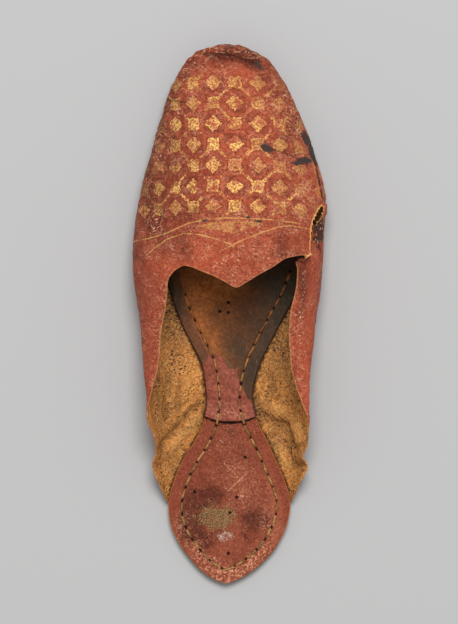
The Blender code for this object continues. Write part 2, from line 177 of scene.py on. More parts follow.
def movedOutwards(path, distance):
    along = np.gradient(path, axis=0)
    if np.allclose(path[0], path[-1]):
        along[0] = along[-1] = path[1] - path[-2]
    along /= np.linalg.norm(along, axis=1)[:, None]
    return path + np.stack([-along[:, 1], along[:, 0]], axis=1) * distance


def edgesAt(path, y):  # left and right X of a path at each Y
    top = int(np.argmax(path[:, 1]))
    left, right = path[:top + 1], path[top:][::-1]
    return np.interp(y, left[:, 1], left[:, 0]), np.interp(y, right[:, 1], right[:, 0])


silhouette = outlinePath(silhouetteChart, silhouetteTip)
insoleEdge = outlinePath(insoleChart, insoleToeTip, insoleHeelTip)
outsoleEdge = movedOutwards(insoleEdge, -shoe["insoleOverhang"])
featherEdge = movedOutwards(insoleEdge, shoe["seatGap"] - shoe["insoleOverhang"])


def soleLift(station):  # the sole's underside: flat at heel and forefoot, arched between, sprung at the toe
    start, end, toe = shoe["heelFlatEnd"], shoe["forefootFlatStart"], shoe["forefootFlatEnd"]
    waist = np.clip((station - start) / (end - start), 0, 1)
    toe = np.clip((station - toe) / (1 - toe), 0, 1)
    return shoe["waistArch"] * np.sin(math.pi * waist) ** 2 + shoe["toeSpring"] * toe ** 2


def stationOf(y):
    return y / length + 0.5


def sectionAt(y, column):
    return smooth(heightChart["station"], heightChart[column], stationOf(y))


def bulgeHeight(y):
    return soleLift(stationOf(y)) + sectionAt(y, "bulge") * shoe["instepHeight"]


def capHeight(x, y):  # the upper's height over any plan point inside its widest line
    left, right = edgesAt(silhouette, y)
    crest = np.clip(sectionAt(y, "crest") * halfWidth, left, right)
    reach = np.where(x < crest, crest - left, right - crest)
    lean = np.clip(np.abs(x - crest) / np.maximum(reach, 1e-6), 0, 1)
    rise = (sectionAt(y, "crown") - sectionAt(y, "bulge")) * shoe["instepHeight"]
    start, power = shoe["toeRoundingStart"], shoe["toeRoundness"]
    toe = np.clip((stationOf(y) - start) / (1 - start), 0, 1)
    rise = rise * (1 - toe ** power) ** (1 / power)
    return bulgeHeight(y) + rise * (1 - lean ** shoe["capSpread"]) ** (1 / shoe["capRoundness"])


def ribbonKey(path):  # grows along a path: Y up the left, the turn round the toe, Y down the right
    away = path - planPoint(shoe["toeCentre"], 0)
    turn = np.arctan2(away[:, 1], -away[:, 0])
    pastToe = np.arange(len(path)) > np.argmax(path[:, 1])
    side = np.where(pastToe, math.pi * halfWidth - away[:, 1], away[:, 1])
    return np.where(away[:, 1] > 0, turn * halfWidth, side)


def freeEdge():  # the free edge's plan points in order, each with its place along the widest line
    lengths = pathLengths(silhouette)
    top = int(np.argmax(silhouette[:, 1]))
    points, places = [], []
    for edge, part, sign in ((leftEdge, slice(0, top + 1), -1), (rightEdge, slice(top, None), 1)):
        sideY, sideAt = silhouette[part, 1][::-sign], lengths[part][::-sign]
        y = (edge["station"] - 0.5) * length
        left, right = edgesAt(silhouette, y)
        x = (left + right) / 2 + sign * edge["lean"] * (right - left) / 2
        at = np.interp((edge["bulge"] - 0.5) * length, sideY, sideAt)
        points.append(np.stack([x, y], axis=1)[::-sign])
        places.append(at[::-sign])
    tipY = (edgeTip[0] - 0.5) * length
    left, right = edgesAt(silhouette, tipY)
    tip = np.array([[(left + right) / 2 + edgeTip[1] * (right - left) / 2, tipY]])
    return np.vstack([points[0], tip, points[1]]), np.concatenate([places[0], [lengths[top]], places[1]])


def ribbonProfile(feather, bulge, edge, steps=48):  # from the sewn margin out to the bulge and over
    t = np.linspace(0, math.pi / 2, steps)
    away = bulge - feather
    margin = feather + away * min(shoe["featherMargin"] / np.linalg.norm(away), shoe["marginLimit"])
    foot = shoe["outsoleThickness"] - shoe["upperWall"] - shoe["seatGap"] + soleLift(stationOf(feather[1]))
    lower = margin + (bulge - margin) * np.sin(t)[:, None]
    lowerZ = foot + (bulgeHeight(bulge[1]) - foot) * (1 - np.cos(t))
    upper = bulge + (edge - bulge) * (1 - np.cos(t[1:]))[:, None]
    upperZ = capHeight(upper[:, 0], upper[:, 1])
    plan = np.vstack([feather, lower, upper])
    profile = np.column_stack([plan, np.concatenate([[foot], lowerZ, upperZ])])
    return profile, pathLengths(profile)[steps]


def randomField(points, size, seed):  # smooth random values about -1 to 1 over points in metres
    values = np.random.default_rng(seed).uniform(-1, 1, (24, 24, 24))
    at = points / size + 100.0
    cell = np.floor(at).astype(int)
    t = at - cell
    t = t * t * (3 - 2 * t)
    total = np.zeros(points.shape[:-1])
    for dx in (0, 1):
        for dy in (0, 1):
            for dz in (0, 1):
                corner = [(cell[..., k] + d) % 24 for k, d in enumerate((dx, dy, dz))]
                weight = np.ones(points.shape[:-1])
                for k, d in enumerate((dx, dy, dz)):
                    weight = weight * (t[..., k] if d else 1 - t[..., k])
                total += weight * values[tuple(corner)]
    return total


def lineDistance(points, line):  # distance in metres to a drawn line, signed by side, and the share along
    line = np.array(line, dtype=float) * mm
    lengths = pathLengths(line)
    best = np.full(points.shape[:-1], 1e9)
    side, share = np.ones_like(best), np.zeros_like(best)
    for a, b, start, end in zip(line, line[1:], lengths, lengths[1:]):
        along = b - a
        t = np.clip(np.dot(points[..., :2] - a, along) / np.dot(along, along), 0, 1)
        away = points[..., :2] - a - t[..., None] * along
        distance = np.hypot(away[..., 0], away[..., 1])
        nearer = distance < best
        best = np.where(nearer, distance, best)
        cross = along[0] * away[..., 1] - along[1] * away[..., 0]
        side = np.where(nearer, np.where(cross < 0, -1.0, 1.0), side)
        share = np.where(nearer, (start + t * (end - start)) / lengths[-1], share)
    return best, side, share


def creased(points, creases):  # sum of soft troughs (below 0) and ridges (above 0), in metres
    total = np.zeros(points.shape[:-1])
    for depth, width, line in creases:
        distance, _, share = lineDistance(points, line)
        taper = ease(np.minimum(share, 1 - share), 0, 0.22)
        total += depth * mm * taper * np.exp(-(distance / (width * mm)) ** 2)
    return total


def blotches(points, spots):  # soft spots: centre, half length, half width, turn in degrees, strength
    total = np.zeros(points.shape[:-1])
    for centre, reachX, reachY, turn, strength in spots:
        away = points[..., :2] - np.array(centre) * mm
        c, s = math.cos(math.radians(turn)), math.sin(math.radians(turn))
        u = (away[..., 0] * c + away[..., 1] * s) / (reachX * mm)
        v = (-away[..., 0] * s + away[..., 1] * c) / (reachY * mm)
        total = np.maximum(total, strength * np.exp(-(u * u + v * v)))
    return total


def newObject(name, vertices, faces, faceMaterials, materials):
    mesh = bpy.data.meshes.new(name)
    mesh.from_pydata(np.asarray(vertices).tolist(), [], faces)
    for material in materials:
        mesh.materials.append(material)
    if faceMaterials is not None:
        mesh.polygons.foreach_set("material_index", faceMaterials)
    mesh.update()
    thing = bpy.data.objects.new(name, mesh)
    bpy.context.scene.collection.objects.link(thing)
    return thing


def vertexPlaces(mesh):
    places = np.empty(len(mesh.vertices) * 3)
    mesh.vertices.foreach_get("co", places)
    return places.reshape(-1, 3)


def moveVertices(mesh, places):
    mesh.vertices.foreach_set("co", places.ravel())
    mesh.update()


def loopVertices(mesh):  # the vertex at each corner of each face
    loops = np.empty(len(mesh.loops), dtype=int)
    mesh.loops.foreach_get("vertex_index", loops)
    return loops


def gridQuads(grid, flipped=False):
    a, b, c, d = grid[:-1, :-1], grid[:-1, 1:], grid[1:, 1:], grid[1:, :-1]
    quads = np.stack((a, d, c, b) if flipped else (a, b, c, d), axis=-1)
    return [tuple(quad) for quad in quads.reshape(-1, 4).tolist()]


def smoothShaded(thing, degrees):  # smooth faces, with edges sharper than the angle kept crisp
    thing.data.shade_smooth()
    thing.data.set_sharp_from_angle(angle=math.radians(degrees))


def triangleCount(thing):
    return sum(len(face.vertices) - 2 for face in thing.data.polygons)


print("charts and helpers ready")

# Upper. Creases are given as depth and half width in mm, then points in mm from the middle of the
# shoe, x across and y towards the toe. Depth is outwards, so a trough on the outside is negative.
upperLook = dict(
    ribbonStep=0.00112, rows=126, innerEvery=3, waviness=0.22, wavelength=0.016, crumple=0.16,
    crumpleSize=0.0048, toeCrumple=0.42, calmHeel=0.02, rimBulge=0.00015, seed=11,
    toeBand=(111.1 * mm, 120.8 * mm), insideBand=(8.8 * mm, 19.1 * mm), overBand=(-0.002, 0.004),
    footBand=(0.01, 0.12), toplineReach=0.004, fineCrumple=0.45, crumpleStretch=1.5, unevenShare=0.6)
tearLook = dict(
    lift=0.9, reach=4.5, flapReach=3.5, flapMove=(4.9, 0.8, -1.6), seed=5,
    bladeLow=0.40, bladeHigh=1.40,  # shares of the instep height
    bladePoints=44, leftRagged=(-0.45, 0.45), rightRagged=(-0.75, 0.9),
    wallTilt=0.02, wallReach=0.0022, lipReach=0.007, lipFloor=0.012, lipTop=0.020, cutFloor=0.014,
    mouthEnd=0.13, blindStart=0.74, blindBand=(0.70, 0.80), blindTaper=0.3, mouthTaper=0.12,  # along the tear
    stripLip=0.45, stripDrop=-1.1, stripPull=-1.3, vampLean=0.1)
flapCorner = np.array((32.7, 26.4)) * mm
latticeLook = dict(  # the gilt lattice's columns and rows, then its pitch past them and its droop, in metres
    columns=np.array([-39.3, -32.7, -24.9, -16.5, -7.5, 2.7, 13.5, 23.4, 33.3]) * mm,
    rows=np.array([49.9, 59.2, 69, 78.8, 88.3, 98, 107.2]) * mm,
    leftPitch=0.0068, rightPitch=0.0085, rowPitch=0.0096, leftDroop=0.0011, rightDroop=0.0014,
    droopWidth=0.030)
outsideCreases = (
    (-0.9, 1.3, ((-15.3, 121.3), (-8.1, 119.8), (-0.3, 119.2), (8.7, 117.1), (15.9, 114.5))),  # toe fold
    (0.5, 1.2, ((-12.9, 123.1), (-4.5, 122.2), (5.1, 121.3), (12.9, 118.9))),
    (-0.5, 1.2, ((-21.3, 114.8), (-14.1, 116.8), (-5.7, 115.6), (3.3, 115.3))),
    (-0.45, 1.0, ((-27.3, 105.1), (-23.1, 109.3), (-18.3, 112.3))),
    (0.45, 1.4, ((-20.1, 108.8), (-11.7, 112.3), (-2.1, 111.8), (8.7, 111.1), (17.1, 107))),
    (-0.4, 1.5, ((12.3, 111.1), (19.5, 104.5), (24.9, 96.1))),
    (-0.35, 1.3, ((-32.1, 92), (-28.5, 98), (-23.1, 102.8))),
    (-0.4, 2.2, ((-26.1, 76.3), (-29.7, 63.8), (-32.7, 48.8), (-34.5, 35.5))),  # left of the gilding
    (-0.7, 3.2, ((-24.3, 39.1), (-21.9, 30.8), (-19.5, 22.3))),  # soft fold over the left hump
    (0.5, 3.6, ((-14.1, 40.4), (-11.7, 30.8), (-8.1, 21.1))),
    (-0.75, 2.4, ((23.1, 39.1), (24.3, 31.9), (26.1, 24.1))),  # soft folds down to the right of the point
    (0.55, 2.6, ((29.1, 38.5), (30.3, 31.9), (31.5, 26.6))),
    (-0.4, 2.0, ((13.5, 36.8), (12.9, 28.3), (11.1, 19.9))),
    (-0.45, 1.6, ((11.1, 78.8), (18.9, 77), (27.3, 74.5), (33.9, 71.5))),  # dark crack to the right
    (0.9, 4.0, ((36.3, 68), (40.5, 58.9), (42.9, 49.9))),  # bulge before the tear
    (1.1, 1.8, ((44.1, 51.8), (45, 48.1), (44.4, 45.1))),
    (-0.7, 1.2, ((37.5, 81.1), (39.3, 75.1), (40.5, 69.8))))
insideCreases = (
    # left quarter
    (1.0, 2.0, ((-27.3, -25.1), (-29.7, -35.2), (-30.9, -44.9), (-28.5, -53.2))),
    (1.6, 1.4,
     ((-35.1, -64.6), (-30.9, -59.2), (-26.1, -53.9), (-20.1, -47.2), (-14.7, -42.4), (-10.5, -40))),
    (-1.6, 2.8, ((-30.9, -65.2), (-24.9, -58.6), (-18.9, -52), (-12.9, -44.9))),
    (0.8, 1.5, ((-21.9, -29.2), (-23.7, -37.6), (-24.9, -47.2))),
    (-0.8, 2.0, ((-18.9, -25.1), (-20.1, -32.9), (-20.7, -41.2))),
    (-0.7, 1.6, ((-32.7, -37), (-33.9, -47.2), (-33.3, -55.6))),
    (0.9, 1.8, ((-23.7, -73), (-26.1, -79.6), (-24.9, -86.8))),
    # right quarter
    (1.9, 1.6, ((11.1, -41.9), (15.3, -46), (20.1, -49.6), (27.9, -51.4), (30.3, -58.6), (33.9, -67))),
    (-2.2, 3.2, ((30.9, -48.4), (33.9, -55), (35.1, -62.2))),
    (-1.0, 2.0, ((18.9, -41.2), (23.7, -45.4), (29.7, -46.6))),
    (0.9, 1.6, ((18.9, -25.1), (20.7, -32.9), (24.3, -41.2))),
    (-0.8, 2.0, ((27.9, -19.1), (30.3, -29.2), (33.3, -40))),
    (-1.2, 2.6, ((18.9, -56.9), (24.3, -64), (29.1, -72.5))),
    (0.8, 1.4, ((25.5, -56.2), (29.1, -65.2), (31.5, -74.8))))
wrinkledPlaces = (
    ((-24.9, 104), 10, 12, 20, 0.75), ((-33.3, 83), 8, 18, 8, 0.7), ((-38.1, 52.9), 6, 22, 4, 0.6),
    ((29.1, 98), 8, 16, -25, 0.6), ((35.1, 77), 5, 10, -10, 0.5), ((-39.3, 7.9), 5, 30, 0, 0.3),
    ((-24.9, -52), 20, 40, 0, 0.35), ((26.1, -52), 20, 40, 0, 0.4))
tearLine = [((l + r) / 2 + lean * (r - l) / 2, y) for y, lean, l, r in
            [(y, lean, *edgesAt(silhouette, y)) for y, lean in
             zip((tearChart["station"] - 0.5) * length, tearChart["lean"])]]
tearLine = np.array(tearLine) / mm


def upperShell(look):
    edgePoints, places = freeEdge()
    counts = np.maximum(np.ceil(np.diff(places) / look["ribbonStep"]).astype(int), 1)
    at = np.concatenate([np.linspace(a, b, n, endpoint=False)
                         for a, b, n in zip(places, places[1:], counts)] + [places[-1:]])
    lengths = pathLengths(silhouette)
    bulge = valuesAt(at, lengths, silhouette)
    edge = smooth(places, edgePoints, at)
    feather = valuesAt(ribbonKey(bulge), ribbonKey(featherEdge), featherEdge)
    shares = np.linspace(0, 1, look["rows"] + 1)
    shares = shares ** (1.25 - 0.25 * shares)
    skin, edgeGap, overBulge, footGap = [], [], [], []
    for ends in zip(feather, bulge, edge):
        profile, bulgeAt = ribbonProfile(*ends)
        run = pathLengths(profile)
        here = shares * run[-1]
        skin.append(valuesAt(here, run, profile))
        edgeGap.append(run[-1] - here)
        overBulge.append(here - bulgeAt)
        footGap.append(here)
    skin, edgeGap, overBulge, footGap = (np.array(rows) for rows in (skin, edgeGap, overBulge, footGap))
    fromEnd = np.minimum(at - at[0], at[-1] - at)
    share = np.clip(fromEnd / (shoe["skivedStretch"] * length), 0, 1)
    wall = shoe["upperWall"] * (shoe["skivedShare"] + (1 - shoe["skivedShare"]) * share)
    return skin, edgeGap, overBulge, footGap, wall, at - at[0]


def outwardNormals(skin):
    across, up = np.gradient(skin, axis=0), np.gradient(skin, axis=1)
    normals = np.cross(up, across)
    return normals / np.maximum(np.linalg.norm(normals, axis=2), 1e-9)[..., None]


def countedAlong(value, marks, before, after):  # a mark's number, going on evenly past the end marks
    count = np.interp(value, marks, np.arange(len(marks)))
    count = np.where(value < marks[0], (value - marks[0]) / before, count)
    return np.where(value > marks[-1], len(marks) - 1 + (value - marks[-1]) / after, count)


def latticePlace(points, overBulge):  # column and row numbers of the gilt lattice at a point of the vamp
    look = latticeLook
    x, pitch = points[..., 0], look["rowPitch"]
    droop = np.where(x < 0, look["leftDroop"], look["rightDroop"]) * (x / look["droopWidth"]) ** 2
    p = countedAlong(x, look["columns"], look["leftPitch"], look["rightPitch"])
    q = countedAlong(points[..., 1] + droop, look["rows"], pitch, pitch)
    side = np.clip(-overBulge, 0, None) / pitch  # below the widest line the lattice goes on down the side
    return p + np.where(x < 0, -side, side), q


def bridged(outer, inner, every):  # many-sided faces between a fine edge loop and a coarser one
    return [tuple(outer[j * every:j * every + every + 1]) + (inner[j + 1], inner[j])
            for j in range(len(inner) - 1)]


def makeUpper(materials):
    look = upperLook
    skin, edgeGap, overBulge, footGap, wall, along = upperShell(look)
    normals = outwardNormals(skin)
    toe = ease(skin[..., 1], *look["toeBand"])
    over = ease(overBulge, *look["overBand"])
    inside = ease(-skin[..., 1], *look["insideBand"])
    fold = creased(skin, outsideCreases) * over * (1 - inside) + creased(skin, insideCreases) * inside
    wave = randomField(skin, look["wavelength"], look["seed"]) * look["waviness"] * mm
    stretched, size = skin * (1, look["crumpleStretch"], 1), look["crumpleSize"]
    crumple = 3 * np.abs(randomField(stretched, size, look["seed"] + 1)) - 1
    crumple += 1.2 * np.abs(randomField(skin, size * look["fineCrumple"], look["seed"] + 2)) - 0.4
    dry = blotches(skin, wrinkledPlaces)
    crumple = crumple * mm * (look["crumple"] + look["toeCrumple"] * np.maximum(toe, dry))
    heelCalm = ease(along, 0, look["calmHeel"]) * ease(along[-1] - along, 0, look["calmHeel"])
    footCalm = ease(np.arange(skin.shape[1]) / skin.shape[1], *look["footBand"])
    calm = heelCalm[:, None] * footCalm[None, :]
    lift = (fold + (wave + crumple) * look["unevenShare"]) * calm
    outer = skin + normals * lift[..., None]
    columns = np.arange(0, skin.shape[1], look["innerEvery"])
    thinned = shoe["toplineShare"] + (1 - shoe["toplineShare"]) * ease(edgeGap, 0, look["toplineReach"])
    inner = (outer - normals * (wall[:, None] * thinned)[..., None])[:, columns]
    rim = (outer[:, -1] + inner[:, -1]) / 2
    outward = outer[:, -1] - outer[:, -2]
    rim += outward / np.linalg.norm(outward, axis=1)[:, None] * look["rimBulge"]
    rows, fine, coarse = skin.shape[0], skin.shape[1], len(columns)
    outerAt = np.arange(rows * fine).reshape(rows, fine)
    innerAt = rows * fine + np.arange(rows * coarse).reshape(rows, coarse)
    rimAt = rows * (fine + coarse) + np.arange(rows)
    faces, kinds = [], []
    for grid, kind in ((outerAt, 0), (innerAt, 1)):
        quads = gridQuads(grid, flipped=kind == 1)
        faces += quads
        kinds += [kind] * len(quads)
    outerAt, innerAt, rimAt = outerAt.tolist(), innerAt.tolist(), rimAt.tolist()
    for i in range(rows - 1):
        faces.append((outerAt[i][-1], rimAt[i], rimAt[i + 1], outerAt[i + 1][-1]))
        faces.append((rimAt[i], innerAt[i][-1], innerAt[i + 1][-1], rimAt[i + 1]))
        faces.append((outerAt[i][0], outerAt[i + 1][0], innerAt[i + 1][0], innerAt[i][0]))
        kinds += [2, 2, 2]
    for i, flip in ((0, True), (rows - 1, False)):
        strips = bridged(outerAt[i], innerAt[i], look["innerEvery"])
        strips.append((outerAt[i][-1], rimAt[i], innerAt[i][-1]))
        strips = [tuple(reversed(strip)) for strip in strips] if flip else strips
        faces += strips
        kinds += [2] * len(strips)
    vertices = np.vstack([outer.reshape(-1, 3), inner.reshape(-1, 3), rim])
    upper = newObject("goatskinUpper", vertices, faces, kinds, materials)
    p, q = latticePlace(skin, overBulge)
    perSkin = dict(lattice=np.stack([p, q], axis=-1), edges=np.stack([edgeGap, overBulge], axis=-1) / mm,
                   folds=np.stack([fold, lift], axis=-1) / mm,
                   feet=np.stack([footGap / mm, np.ones_like(footGap)], axis=-1))
    loops = loopVertices(upper.data)
    for name, values in perSkin.items():
        flat = np.vstack([values.reshape(-1, 2), values[:, columns].reshape(-1, 2), values[:, -1]])
        if name == "feet":
            flat[:rows * fine, 1] = 0  # the second value is 1 on the inner side
        layer = upper.data.uv_layers.new(name=name)
        layer.data.foreach_set("uv", flat[loops].ravel().astype(np.float32))
    return upper


def tearCutter(material):  # an upright ragged blade over the height of the vamp's side
    count = tearLook["bladePoints"]
    shares = np.linspace(0, len(tearLine) - 1, count)
    line = smooth(np.arange(len(tearLine)), tearLine * mm, shares)
    width = smooth(np.arange(len(tearLine)), tearChart["width"], shares) * shoe["tearWidth"] / 2
    along = np.gradient(line, axis=0)
    along /= np.linalg.norm(along, axis=1)[:, None]
    normal = np.stack([-along[:, 1], along[:, 0]], axis=1)
    random = np.random.default_rng(tearLook["seed"])
    left = line + normal * (width * (1 + random.uniform(*tearLook["leftRagged"], count)))[:, None]
    right = line - normal * (width * (1 + random.uniform(*tearLook["rightRagged"], count)))[:, None]
    ring = np.vstack([left, right[::-1]])
    n = len(ring)
    low, high = (tearLook[end] * shoe["instepHeight"] for end in ("bladeLow", "bladeHigh"))
    vertices = [(x, y, low) for x, y in ring] + [(x, y, high) for x, y in ring]
    faces = [tuple(range(n)), tuple(range(2 * n - 1, n - 1, -1))]
    faces += [(i, i + n, (i + 1) % n + n, (i + 1) % n) for i in range(n)]
    cutter = newObject("tearBlade", vertices, faces, [2] * len(faces), [material] * 3)
    reshaped(cutter.data, lambda shape: bmesh.ops.recalc_face_normals(shape, faces=shape.faces))
    return cutter


def reshaped(mesh, change):  # change is given the mesh in its editable form
    shape = bmesh.new()
    shape.from_mesh(mesh)
    change(shape)
    shape.to_mesh(mesh)
    shape.free()


def bakedInto(thing, modifier):  # the modifier's result as a plain mesh
    graph = bpy.context.evaluated_depsgraph_get()
    mesh = bpy.data.meshes.new_from_object(thing.evaluated_get(graph), preserve_all_data_layers=True,
                                           depsgraph=graph)
    thing.modifiers.remove(modifier)
    old, thing.data = thing.data, mesh
    mesh.name = thing.name
    bpy.data.meshes.remove(old)


def dropPassedVertices(shape):  # one that only two edges reach would leave slivers folded on themselves
    passed = [vertex for vertex in shape.verts if len(vertex.link_edges) == 2]
    bmesh.ops.dissolve_verts(shape, verts=passed)
    print("dropped along the tear:", len(passed), "vertices")


def tornUpper(upper, material):
    blade = tearCutter(material)
    cut = upper.modifiers.new("tear", "BOOLEAN")
    cut.operation, cut.solver, cut.object = "DIFFERENCE", "EXACT", blade
    bakedInto(upper, cut)
    bpy.data.objects.remove(blade)
    reshaped(upper.data, dropPassedVertices)
    look, points = tearLook, vertexPlaces(upper.data)
    distance, side, share = lineDistance(points, tearLine)
    over = ease(points[:, 2], look["lipFloor"], look["lipTop"])
    near = np.exp(-(distance / (look["reach"] * mm)) ** 2) * over
    near *= ease(1 - share, 0, look["blindTaper"]) * ease(share, 0.0, look["mouthTaper"])
    vampSide = side > 0
    walls = [face for face in upper.data.polygons if abs(face.normal.z) < look["wallTilt"]
             and max(distance[corner] for corner in face.vertices) < look["wallReach"]]
    for face in walls:
        face.material_index = 2
    cutAt = np.unique([corner for face in walls for corner in face.vertices])
    cutAt = cutAt[(share[cutAt] > look["mouthEnd"]) & (points[cutAt, 2] > look["cutFloor"])]
    print("torn edge:", len(walls), "faces")
    lip = np.full(len(points), 9.0)
    edged = vampSide | (share > look["blindStart"])
    close = np.flatnonzero((distance < look["lipReach"]) & edged & (points[:, 2] > look["lipFloor"]))
    lip[close] = np.linalg.norm(points[close, None] - points[None, cutAt], axis=2).min(axis=1) / mm
    lip += np.where(vampSide, 0.0, look["stripLip"])
    setAttribute(upper.data, "tearLip", lip)
    blind = ease(share, *look["blindBand"])
    points[:, 2] += np.where(vampSide, 1.0, look["stripDrop"]) * look["lift"] * mm * near
    sideways = np.where(vampSide, look["vampLean"], look["stripPull"] * (1 - blind))
    points[:, 0] += sideways * look["lift"] * mm * near
    fromCorner = np.linalg.norm(points[:, :2] - flapCorner, axis=1)
    pulled = np.exp(-(fromCorner / (look["flapReach"] * mm)) ** 2) * vampSide * over
    points += pulled[:, None] * look["flapMove"] * (mm, mm, mm)
    moveVertices(upper.data, points)
    return upper


def keepAsAttributes(upper):  # the charts drawn on faces become values at the vertices
    mesh = upper.data
    loops = loopVertices(mesh)
    uses = np.maximum(np.bincount(loops, minlength=len(mesh.vertices)), 1)
    kept = {}
    for layer in list(mesh.uv_layers):
        values = np.empty(len(loops) * 2, dtype=np.float32)
        layer.data.foreach_get("uv", values)
        values = values.reshape(-1, 2)
        kept[layer.name] = np.stack([np.bincount(loops, values[:, k], len(mesh.vertices)) / uses
                                     for k in range(2)], axis=1)
    for name in kept:
        mesh.uv_layers.remove(mesh.uv_layers[name])
    return kept


def setAttribute(mesh, name, values):
    attribute = mesh.attributes.new(name, "FLOAT", "POINT")
    attribute.data.foreach_set("value", np.ascontiguousarray(values, dtype=np.float32))


def linear(hexColour):  # sRGB hex to linear
    channels = [int(hexColour[i:i + 2], 16) / 255 for i in (1, 3, 5)]
    return tuple(c / 12.92 if c <= 0.04045 else ((c + 0.055) / 1.055) ** 2.4 for c in channels) + (1.0,)


def addNode(tree, family, kind, inputs, output=0, **settings):  # with settings and links; gives an output
    node = tree.nodes.new(family + kind)
    for name, value in settings.items():
        setattr(node, name, value)
    for name, value in inputs.items():
        if isinstance(value, bpy.types.NodeSocket):
            tree.links.new(value, node.inputs[name])
        else:
            node.inputs[name].default_value = value
    return node.outputs[output] if len(node.outputs) else node


def newMaterial(name, charts=()):  # charts name the values painted at the vertices
    material = bpy.data.materials.new(name)
    material.use_nodes = True
    material.node_tree.nodes.clear()
    add = partial(addNode, material.node_tree, "ShaderNode")
    place = add("VectorMath", {0: add("TexCoord", {}, "Object"), "Scale": 1 / mm}, operation="SCALE")
    value = {chart: add("Attribute", {}, "Fac", attribute_name=chart) for chart in charts}
    return material, add, place, value  # place is in millimetres


def finished(add, colour, roughness, height, constants):  # leather's shader; height in mm
    normal = add("Bump", {"Height": height, "Distance": mm})
    shader = add("BsdfPrincipled", {"Base Color": colour, "Roughness": roughness, "Normal": normal,
                                    **constants})
    add("OutputMaterial", {"Surface": shader})


def patches(add, place, size, low, high, detail=3.0, roughness=0.55, stretch=(1, 1, 1), offset=0.0):
    vector = add("VectorMath", {0: place, 1: stretch, 2: (offset,) * 3}, operation="MULTIPLY_ADD")
    noise = add("TexNoise", {"Vector": vector, "Scale": 1 / size, "Detail": detail, "Roughness": roughness})
    return add("MapRange", {"Value": noise, "From Min": low, "From Max": high},
               interpolation_type="SMOOTHSTEP")


def within(add, value, half, soft, centre=0.0):  # 1 where the value is nearer the centre than half
    size = add("Math", {0: value, 1: centre}, operation="SUBTRACT")
    size = add("Math", {0: size}, operation="ABSOLUTE")
    return add("MapRange", {"Value": size, "From Min": half + soft, "From Max": half - soft},
               interpolation_type="SMOOTHSTEP")


def product(add, *factors):
    total = factors[0]
    for factor in factors[1:]:
        total = add("Math", {0: total, 1: factor}, operation="MULTIPLY")
    return total


def most(add, *fields, clamp=False):  # the highest of the fields
    total = fields[0]
    for field in fields[1:]:
        total = add("Math", {0: total, 1: field}, operation="MAXIMUM", use_clamp=clamp)
    return total


def relief(add, *layers):  # height in mm from layers of (field, its height)
    height = 0.0
    for field, rise in layers:
        height = add("Math", {0: field, 1: rise, 2: height}, operation="MULTIPLY_ADD")
    return height


def layered(add, ground, *coats):  # coats of (amount, sRGB hex) over a ground colour
    colour = linear(ground) if isinstance(ground, str) else ground
    for amount, tint in coats:
        colour = add("Mix", {0: amount, 6: colour, 7: linear(tint) if isinstance(tint, str) else tint}, 2,
                     data_type="RGBA")
    return colour


# The dark lines drawn along these folds are painted fold shadow, and along foldMiddle a crack
creaseLines = dict(  # sharp folds, mm
    foldRight=((35.1, 84.8), (37.5, 80), (39.3, 73.3), (40.8, 66.8), (42.3, 60.1), (43.5, 54.1)),
    foldToe=((-17.1, 118.3), (-12.9, 120.8), (-6.3, 121), (1.5, 119.8), (9.3, 117.8), (15.9, 114.8)),
    foldMiddle=((15.9, 78.1), (18.9, 77), (27.3, 74), (33.9, 71.5)),
    foldLeft=((-30.3, 99.8), (-26.1, 99.4), (-21.9, 98.2)))
